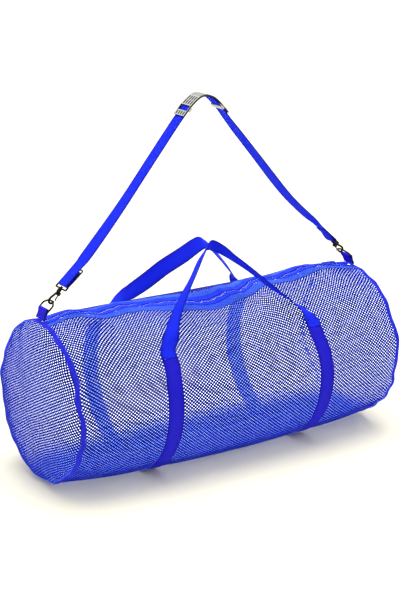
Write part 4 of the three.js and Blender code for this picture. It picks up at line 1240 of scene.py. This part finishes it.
LOOP_RADIUS = WIRE_RADIUS + GAP + WEBBING_THICKNESS / 2
tab_rise = unit(np.array([0.42, 0, 0.91]))
tab_side = np.array([tab_rise[2], 0, -tab_rise[0]])
tab_apart = WEBBING_THICKNESS / 2 + GAP / 2
tab_foot = RING_FOOT - TAB_FOOT * tab_rise
tab_waist = RING_FOOT - TAB_WAIST * tab_rise
tab_bend = half_turn(RING_FOOT, tab_rise, LOOP_RADIUS, TURN_STEPS)
tab_line = np.concatenate([
    [tab_foot - tab_apart * tab_side, tab_waist - tab_apart * tab_side], tab_bend,
    [tab_waist + tab_apart * tab_side, tab_foot + tab_apart * tab_side],
])
# The tabs take the darker copy of the webbing: painted shade.
for name, side in (("left", -1), ("right", 1)):
    path = smooth_path(tab_line * [-side, 1, 1], np.linspace(0, 1, TAB_STEPS))
    webbing_piece(f"tab_{name}", path, ACROSS * -side, band_webbing_shaded, f"ring_tab_{name}")

# %% [markdown]
# ## Shoulder strap
# The strap is one length of webbing. It starts at the bar of the slide, goes round the left eye, climbs
# to the pad, comes down with a slight twist and is sewn round the right eye.

# %% Shoulder strap
STRAP_LEAVE = unit(np.array([0.749, 0, 0.663]))
STRAP_IN = np.array([STRAP_LEAVE[2], 0, -STRAP_LEAVE[0]])
EYE_PLACE = hook_point(EYE_BAR, 0)
SLIDE_UP = 36
SLIDE_THICKNESS = 3
SLIDE_BAR = 1.4
SLIDE_INSET = 1.5 * WEBBING_THICKNESS + 2 * GAP + SLIDE_THICKNESS / 2
# Columns: x and z of the strap's line between its straight ends
STRAP_LINE = np.array([
    (-220, 585), (-130, 694), (-65, 772), (-38, 800), (-14, 814),
    (10, 809), (36, 786), (64, 752), (136, 667), (231, 557),
])
# Columns: x, degrees that the strap turns from lying flat across the bag
STRAP_TWIST = np.array([
    (-322, 0), (-300, 6), (-170, 0), (42, 0), (95, 6), (200, 9), (292, 10.5), (320, 0),
])


STRAP_STEPS = 180
# How far the strap's tail and its inner layer end below the slide's bar
TAIL_END, LAYER_END = 8, 13
# A turn of the strap tips its width along the bag and upright by these shares
TIP_ALONG, TIP_UP = 0.75, 0.66
# Distances from the eye's bar: rows of the straight ends, and of the layer that is sewn on at the right
END_ROWS = np.array([0, 24, 50, 62])
SEWN_ROWS = np.array([20, 30, 40])


def end_point(up, inward, side=-1):
    """Points at a strap end: up along the strap from the eye's bar, and inwards from its outer layer."""
    up, inward = (np.asarray(value, float)[..., None] for value in (up, inward))
    start = EYE_PLACE - LOOP_RADIUS * STRAP_IN
    return (start + up * STRAP_LEAVE + inward * STRAP_IN) * [-side, 1, 1]


strap_rows = np.concatenate([
    end_point(END_ROWS, 0),
    np.stack([STRAP_LINE[:, 0], 0 * STRAP_LINE[:, 0], STRAP_LINE[:, 1]], -1),
    end_point(END_ROWS[::-1], 0, 1),
])
strap_run = smooth_path(strap_rows, np.linspace(0, 1, STRAP_STEPS))
layer = SLIDE_THICKNESS / 2 + GAP + WEBBING_THICKNESS / 2
wrap_turn = np.radians(np.linspace(-90, 90, TURN_STEPS))
wrap = end_point(SLIDE_UP + SLIDE_BAR + layer * np.cos(wrap_turn), SLIDE_INSET + layer * np.sin(wrap_turn))
left_turn = half_turn(EYE_PLACE, -STRAP_LEAVE, LOOP_RADIUS, TURN_STEPS)
right_turn = left_turn[::-1] * [-1, 1, 1]
strap_path = np.concatenate([
    end_point([SLIDE_UP - TAIL_END], SLIDE_INSET - layer), wrap,
    end_point([SLIDE_UP - LAYER_END], SLIDE_INSET + layer), left_turn, strap_run[1:-1], right_turn,
    end_point(SEWN_ROWS, WEBBING_THICKNESS + GAP, 1),
])
strap_twist = np.radians(eased(STRAP_TWIST, strap_path[:, 0]))
lean = np.sin(strap_twist)
upright = -TIP_UP * np.sign(strap_path[:, 0]) * lean
strap_width = np.stack([-TIP_ALONG * lean, np.cos(strap_twist), upright], -1)
webbing_piece("strap", strap_path, strap_width, webbing, "shoulder_strap")

# %% [markdown]
# ### Strap slide
# The slide is a flat frame with a bar across its middle, moulded in one. Its rounded bars are wires with
# a flattened section.

# %% Strap slide
# Columns: across the bag, up the strap
SLIDE_CORNERS = np.array([(-21.4, -10.2), (21.4, -10.2), (21.4, 10.2), (-21.4, 10.2)])
SLIDE_BAR_HALF = 21
SLIDE_BEND, SLIDE_BEND_STEPS = 3.5, 6
# Radius of a bar across the slide's plane, and how much flatter it is
FRAME_WIRE, FRAME_FLAT = 1.75, 0.86
BAR_WIRE, BAR_FLAT = 2.4, 0.62
slide_middle = end_point(SLIDE_UP, SLIDE_INSET)
slide_frame = slide_middle + SLIDE_CORNERS[:, :1] * ACROSS + SLIDE_CORNERS[:, 1:] * STRAP_LEAVE
slide_bent = rounded_line(slide_frame, SLIDE_BEND, SLIDE_BEND_STEPS, True)
frame_shell = wire(slide_bent, STRAP_IN, FRAME_WIRE, closed=True, squash=FRAME_FLAT)
bar_line = slide_middle + np.linspace(-SLIDE_BAR_HALF, SLIDE_BAR_HALF, 9)[:, None] * ACROSS
bar_shell = wire(bar_line, STRAP_IN, BAR_WIRE, squash=BAR_FLAT)
fitting("slide", [frame_shell, bar_shell], black_plastic, "slide_plastic", "strap_slide", -1)

# %% [markdown]
# ## Shoulder pad
# The pad is a moulded strip over the top of the strap. Lengthwise ribs stand on it, and near each end a
# window shows the strap, which is held by a bar under it. Each part is a ribbed section carried along the
# strap, over its own stretch.

# %% Shoulder pad
PAD_WIDTH = 42
PAD_THICKNESS = 3.2
PAD_HALF = 71
PAD_SHIFT = 3
WINDOW = (44, 58)
WINDOW_HALF_WIDTH = 17
KEEPER_HALF = 5
KEEPER_THICKNESS = 1.4
SLOT_DEPTH = 1.7
SLOT_HALF = 2.0
SLOT_RAMP = 0.8
SLOT_LINES = (-13.2, -4.4, 4.4, 13.2)
# Columns: where a row of slots starts and ends, from the pad's middle
SLOT_ROWS = ((18, 28.5), (30.5, 41), (60.5, 68.5))
PAD_BORDER = 1.6
BARE_HALF = 15
BARE_TONE = 0.1
STEP_ALONG, STEP_ACROSS = 0.8, 0.5
ROLL_DROP, ROLL_WIDTH = 0.5, 1.5
WINDOW_LAP, WINDOW_SINK = 0.5, 0.3
KEEPER_SIDE = 1.35
PAD_LOW = WEBBING_THICKNESS / 2 + 1.5 * GAP
PAD_HIGH = PAD_LOW + PAD_THICKNESS
KEEPER_LOW = -PAD_LOW - KEEPER_THICKNESS
run_length = path_length(strap_run)
apex_length = run_length[np.argmax(strap_run[:, 2])] + PAD_SHIFT


def pad_point(distance, across_bag, up):
    """Point on the strap's run: distance from the pad's middle, across the strap and up from its centre."""
    at = np.stack([np.interp(apex_length + distance, run_length, strap_run[:, k]) for k in (0, 2)], -1)
    ahead = np.stack([np.interp(apex_length + distance + 1, run_length, strap_run[:, k]) for k in (0, 2)], -1)
    slope = unit(ahead - at)
    x = at[..., 0] - slope[..., 1] * up
    z = at[..., 1] + slope[..., 0] * up
    return np.stack(np.broadcast_arrays(x, across_bag, z), -1)


def soft_box(offset, half):
    """1 within a half width, 0 outside it, with a short ramp between."""
    return np.clip((half - np.abs(offset)) / SLOT_RAMP + 0.5, 0, 1)


def slot_share(distance, across_bag):
    """How deep a point lies in a slot: ramps across the slot's line times ramps along its row."""
    across_slots = sum(soft_box(across_bag - line, SLOT_HALF) for line in SLOT_LINES)
    along_slots = sum(soft_box(np.abs(distance) - (a + b) / 2, (b - a) / 2) for a, b in SLOT_ROWS)
    return across_slots * along_slots


def pad_strip(start, end, inner, outer, low, high, under=1.0):
    """Closed strip along the strap: flat below; on top a slotted face with soft edges.

    Gives a mask of dark places too: painted shade in the slots, on a border and on the underside, and partly
    the bare middle.
    """
    distance = np.linspace(start, end, max(int((end - start) / STEP_ALONG), 4))[:, None]
    across_top = np.linspace(inner, outer, max(int((outer - inner) / STEP_ACROSS), 6))[None, :]
    share = slot_share(distance, across_top)
    edge = np.minimum(across_top - inner, outer - across_top)
    top = high - SLOT_DEPTH * share - ROLL_DROP * np.clip(1 - edge / ROLL_WIDTH, 0, 1) ** 2
    across_all = np.concatenate([across_top, across_top[:, [-1, 0]]], 1)
    up_all = np.concatenate([top, np.full((len(distance), 2), low)], 1)
    border = np.clip(1 - edge / PAD_BORDER, 0, 1) * under
    bare = BARE_TONE * soft_box(distance, BARE_HALF)
    dark = np.maximum(np.maximum(share, border), bare)
    mask = np.concatenate([dark, np.full((len(distance), 2), under)], 1)
    return *outward(swept(pad_point(distance, across_all, up_all))), mask.ravel()


half = PAD_WIDTH / 2
strips = [pad_strip(-WINDOW[0], WINDOW[0], -half, half, PAD_LOW, PAD_HIGH)]
for sign in (-1, 1):
    near, far = sorted((sign * WINDOW[1], sign * PAD_HALF))
    strips.append(pad_strip(near, far, -half, half, PAD_LOW, PAD_HIGH))
    near, far = sorted((sign * (WINDOW[0] - WINDOW_LAP), sign * (WINDOW[1] + WINDOW_LAP)))
    # Under the keeper the underside is left pale: painted light from the floor below.
    keeper = sign * (WINDOW[0] + WINDOW[1]) / 2 + np.array([-KEEPER_HALF, KEEPER_HALF])
    for edge in (-1, 1):
        inner, outer = sorted((edge * WINDOW_HALF_WIDTH, edge * half))
        strips.append(pad_strip(near, far, inner, outer, PAD_LOW, PAD_HIGH - WINDOW_SINK))
        inner, outer = sorted((edge * (half - KEEPER_SIDE), edge * half))
        strips.append(pad_strip(*keeper, inner, outer, KEEPER_LOW, PAD_LOW + WINDOW_LAP, under=0.0))
    strips.append(pad_strip(*keeper, -half, half, KEEPER_LOW, -PAD_LOW, under=0.0))
points, faces = joined(*[strip[:2] for strip in strips])
mask = np.concatenate([strip_mask for _, _, strip_mask in strips])
print("pad of", len(strips), "strips")

# %% [markdown]
# ### Finish of the pad
# The crowns of the pad are painted pale, as the highlight of the sky on its glossy rubber, and its grooves,
# sides and border are painted dark as shade. The mask that the strips made tells the two apart.

# %% Finish of the pad
GROOVE_GAIN = 4.0
CROWN_PATCH_TONE = 0.8
RUBBER_FUZZ, RUBBER_DEPTH = 0.15, 0.0003


def highlight_and_shade(name, crown, groove, roughness):
    """Moulded finish with a crown painted pale as highlight, in patches, and grooves and sides painted dark
    as shade, by the mesh's own mask.
    """
    material, tree, shader, fade = new_material(name, roughness)
    deep = maths(tree, "MINIMUM", maths(tree, "MULTIPLY", cloth_mark(tree), GROOVE_GAIN), 1.0)
    worn = mixed(tree, fade.outputs["Fade"], crown, tuple(CROWN_PATCH_TONE * c for c in crown[:3]) + (1.0,))
    tree.links.new(mixed(tree, deep, worn, groove), shader.inputs["Base Color"])
    add_bump(tree, shader, fade.outputs["Fuzz"], RUBBER_FUZZ, RUBBER_DEPTH)
    return material


# Crown colour: a painted highlight on black rubber; groove colour: painted shade.
pad_rubber = highlight_and_shade("pad rubber", srgb(196, 197, 190), srgb(14, 14, 14), 0.42)
pad = new_piece("ribbed_pad", points, faces, smooth=False, inner=mask)
dress(pad, pad_rubber, "pad", "shoulder_pad")

# %% [markdown]
# ## Zip slider
# The slider sits at the right end of the closed zip: a small squared lump over the coils with a flat pull
# lying back along them.

# %% Zip slider
SLIDER_X = 372.0
SLIDER_LIFT = 4.6 + GAP
SLIDER_SIZE, SLIDER_POWER = (6.5, 4.5, 1.6), 0.45
PULL_SIZE, PULL_POWER = (13, 3.4, 0.7), 0.35
SLIDER_STEP, SLIDER_SINK = 12, 0.3
PULL_REACH, PULL_RISE, PULL_END = 27, 1.3, 3.0
slider_at = zip_point(np.array([SLIDER_X]), 0.0, 0.0)[0]
slider_ahead = zip_point(np.array([SLIDER_X - SLIDER_STEP]), 0.0, 0.0)[0]
slider_along = unit(slider_ahead - slider_at)
slider_out = np.cross(slider_along, unit(ACROSS - slider_along[1] * slider_along))
slider_out = slider_out * np.sign(slider_out[2])
slider_axes = np.stack([slider_along, np.cross(slider_out, slider_along), slider_out])
pull_root = slider_at + (SLIDER_LIFT + PULL_RISE) * slider_out
pull_tip = zip_point(np.array([SLIDER_X - PULL_REACH]), 0.0, PULL_END)[0]
pull_along = unit(pull_tip - pull_root)
pull_out = np.cross(pull_along, slider_axes[1])
pull_axes = np.stack([pull_along, slider_axes[1], pull_out * np.sign(pull_out[2])])
slider_shells = [
    lump(slider_at + (SLIDER_LIFT - SLIDER_SINK) * slider_out, slider_axes, SLIDER_SIZE, SLIDER_POWER),
    lump((pull_root + pull_tip) / 2, pull_axes, PULL_SIZE, PULL_POWER),
]
points, faces = joined(*[outward(shell) for shell in slider_shells])
dress(new_piece("slider", points, faces), coil_plastic, "zip_plastic", "zip_slider")

# %% [markdown]
# ## Stitching
# Lockstitch shows as rows of short raised dashes along every sewn edge. A dash is a bead of six points:
# its two ends and four points round its middle. A row is a place for each distance along the seam, so the
# same few lines sew bands, tapes, bindings, tabs and the strap's end.

# %% Stitches
STITCH_PITCH = 4.2
STITCH_LENGTH = 3.0
THREAD_HALF = 0.4
BEAD = np.array([(0, 2, 4), (0, 4, 3), (0, 3, 5), (0, 5, 2), (1, 4, 2), (1, 3, 4), (1, 5, 3), (1, 2, 5)])


def stitch_row(place, start, end):
    """Beads along a seam: place(distance, lift) gives the points of the cloth's face and above it."""
    distance = np.arange(start, end - STITCH_LENGTH, STITCH_PITCH)
    first, middle, last = (place(distance + share * STITCH_LENGTH, 0.0) for share in (0, 0.5, 1))
    up = unit(place(distance + STITCH_LENGTH / 2, 1.0) - middle) * THREAD_HALF
    side = unit(np.cross(last - first, up)) * THREAD_HALF
    corners = np.stack([first, last, middle + side, middle - side, middle + up, middle - up], 1)
    beads = np.arange(len(distance))[:, None, None] * corners.shape[1] + BEAD
    return outward((corners.reshape(-1, 3), [beads.reshape(-1, 3)]))


def sewn_piece(name, rows):
    """All rows of one kind of seam as a dressed piece."""
    points, faces = joined(*rows)
    return dress(new_piece(name, points, faces), thread, "webbing")


# %% Stitches of the bands
FACE_LIFT = 0.1
EDGE_LINE = WEBBING_WIDTH / 2 - 3.5
BAND_FACE = GAP + 0.9 * WEBBING_THICKNESS
BAND_ROUND = (1 - 2 * STITCH_V) * TUBE_ROUND
BAND_START = 3
CROSS_ROWS = (4, 24, BAND_ROUND - 24, BAND_ROUND - 4)


def along_band(centre, s):
    """Row along a band, at s across it."""
    def place(distance, lift):
        """Point along the band's row."""
        return band_points(centre, s, STITCH_V + distance / TUBE_ROUND, BAND_FACE + lift)
    return stitch_row(place, BAND_START, BAND_ROUND - BAND_START)


def across_band(centre, distance):
    """Row across a band, at a distance from its front stitch line."""
    def place(s, lift):
        """Point along the row across the band."""
        return band_points(centre, s, STITCH_V + distance / TUBE_ROUND, BAND_FACE + FACE_LIFT + lift)
    return stitch_row(place, -EDGE_LINE, EDGE_LINE)


band_rows = []
for centre in BANDS.values():
    band_rows += [along_band(centre, s) for s in (-EDGE_LINE, EDGE_LINE)]
    band_rows += [across_band(centre, distance) for distance in CROSS_ROWS]
sewn_piece("stitches_bands", band_rows)

# %% Stitches of the zip and the bindings
TAPE_LINE = CHAIN_HALF + TAPE_WIDTH - 0.6
TAPE_FACE = 1.2
SEAM_INSET = 2
OFF_FLOOR = np.radians(150) * RIM_RADIUS


def along_tape(out):
    """Row along a zip tape, at out from the zip's middle line."""
    def place(x, lift):
        """Point along the tape's row."""
        return zip_point(x, out, TAPE_FACE + lift)
    return stitch_row(place, -SEAM_HALF + COIL_INSET, SEAM_HALF - COIL_INSET)


def along_seam(side):
    """Row on a binding's face, a little on the tube's side, from the crown down both ways."""
    def place(distance, lift):
        """Point along the seam's row."""
        x = np.full_like(distance, side * (SEAM_HALF - SEAM_INSET))
        return body_point(x, distance / RIM_RADIUS, NET_BASE + FACE_LIFT + lift)
    return stitch_row(place, -OFF_FLOOR, OFF_FLOOR)


sewn_piece("stitches_zip", [along_tape(out) for out in (-TAPE_LINE, TAPE_LINE)])
sewn_piece("stitches_bindings", [along_seam(side) for side in (-1, 1)])

# %% Stitches of the tabs and the strap's end
TAB_FACE = tab_apart + WEBBING_THICKNESS / 2 + FACE_LIFT
TAB_ROW = 7
SEWN_END = (24, 36)


def across_tab(side):
    """Row across a tab, near its foot."""
    def place(s, lift):
        """Point along the row across the tab."""
        middle = tab_foot + TAB_ROW * tab_rise + s[:, None] * ACROSS
        return (middle - (TAB_FACE + lift) * tab_side) * [-side, 1, 1]
    return stitch_row(place, -EDGE_LINE, EDGE_LINE)


def across_strap(up):
    """Row across the strap's sewn end, up from the right eye's bar."""
    def place(s, lift):
        """Point along the row across the strap."""
        return end_point(up, -WEBBING_THICKNESS / 2 - lift, 1) + s[:, None] * ACROSS
    return stitch_row(place, -EDGE_LINE, EDGE_LINE)


end_rows = [across_tab(side) for side in (-1, 1)] + [across_strap(up) for up in SEWN_END]
sewn_piece("stitches_ends", end_rows)

# %% [markdown]
# ## Floor and light
# The bag lies on a plain pale floor in soft light from all sides, with one large lamp above, so that the
# shadow under it stays soft.

# %% Floor, world and lamps
FLOOR_SIZE = 60.0
FLOOR_PATCH = 1.5
SUN_DIRECTION = (-0.06, -0.07, -1.0)
SUN_ANGLE, SUN_STRENGTH = 50, 1.9
floor_points = np.array([(-1, -1, 0), (1, -1, 0), (1, 1, 0), (-1, 1, 0)]) * FLOOR_SIZE / 2 / MM
floor = new_piece("floor", floor_points, [np.array([[0, 1, 2, 3]])], smooth=False)
floor_paint, tree, shader, fade = new_material("floor paint", 0.9)
fade.inputs["Patch"].default_value = FLOOR_PATCH
paint = mixed(tree, fade.outputs["Fade"], srgb(250, 245, 221), srgb(249, 244, 220))
tree.links.new(paint, shader.inputs["Base Color"])
floor.data.materials.append(floor_paint)

world = bpy.data.worlds.new("studio")
world.use_nodes = True
world.node_tree.nodes["Background"].inputs["Color"].default_value = (1, 1, 1, 1)
world.node_tree.nodes["Background"].inputs["Strength"].default_value = 1.0
scene.world = world
scene.view_settings.view_transform = "Standard"


def soft_sun(name, direction, angle, strength):
    """Light from a whole patch of sky: the wider its angle, the softer the shadow."""
    sun = bpy.data.objects.new(name, bpy.data.lights.new(name, "SUN"))
    sun.data.angle = np.radians(angle)
    sun.data.energy = strength
    sun.rotation_euler = Vector(direction).to_track_quat("-Z", "Y").to_euler()
    scene.collection.objects.link(sun)


soft_sun("sky patch", SUN_DIRECTION, SUN_ANGLE, SUN_STRENGTH)
print("floor", FLOOR_SIZE, "m")
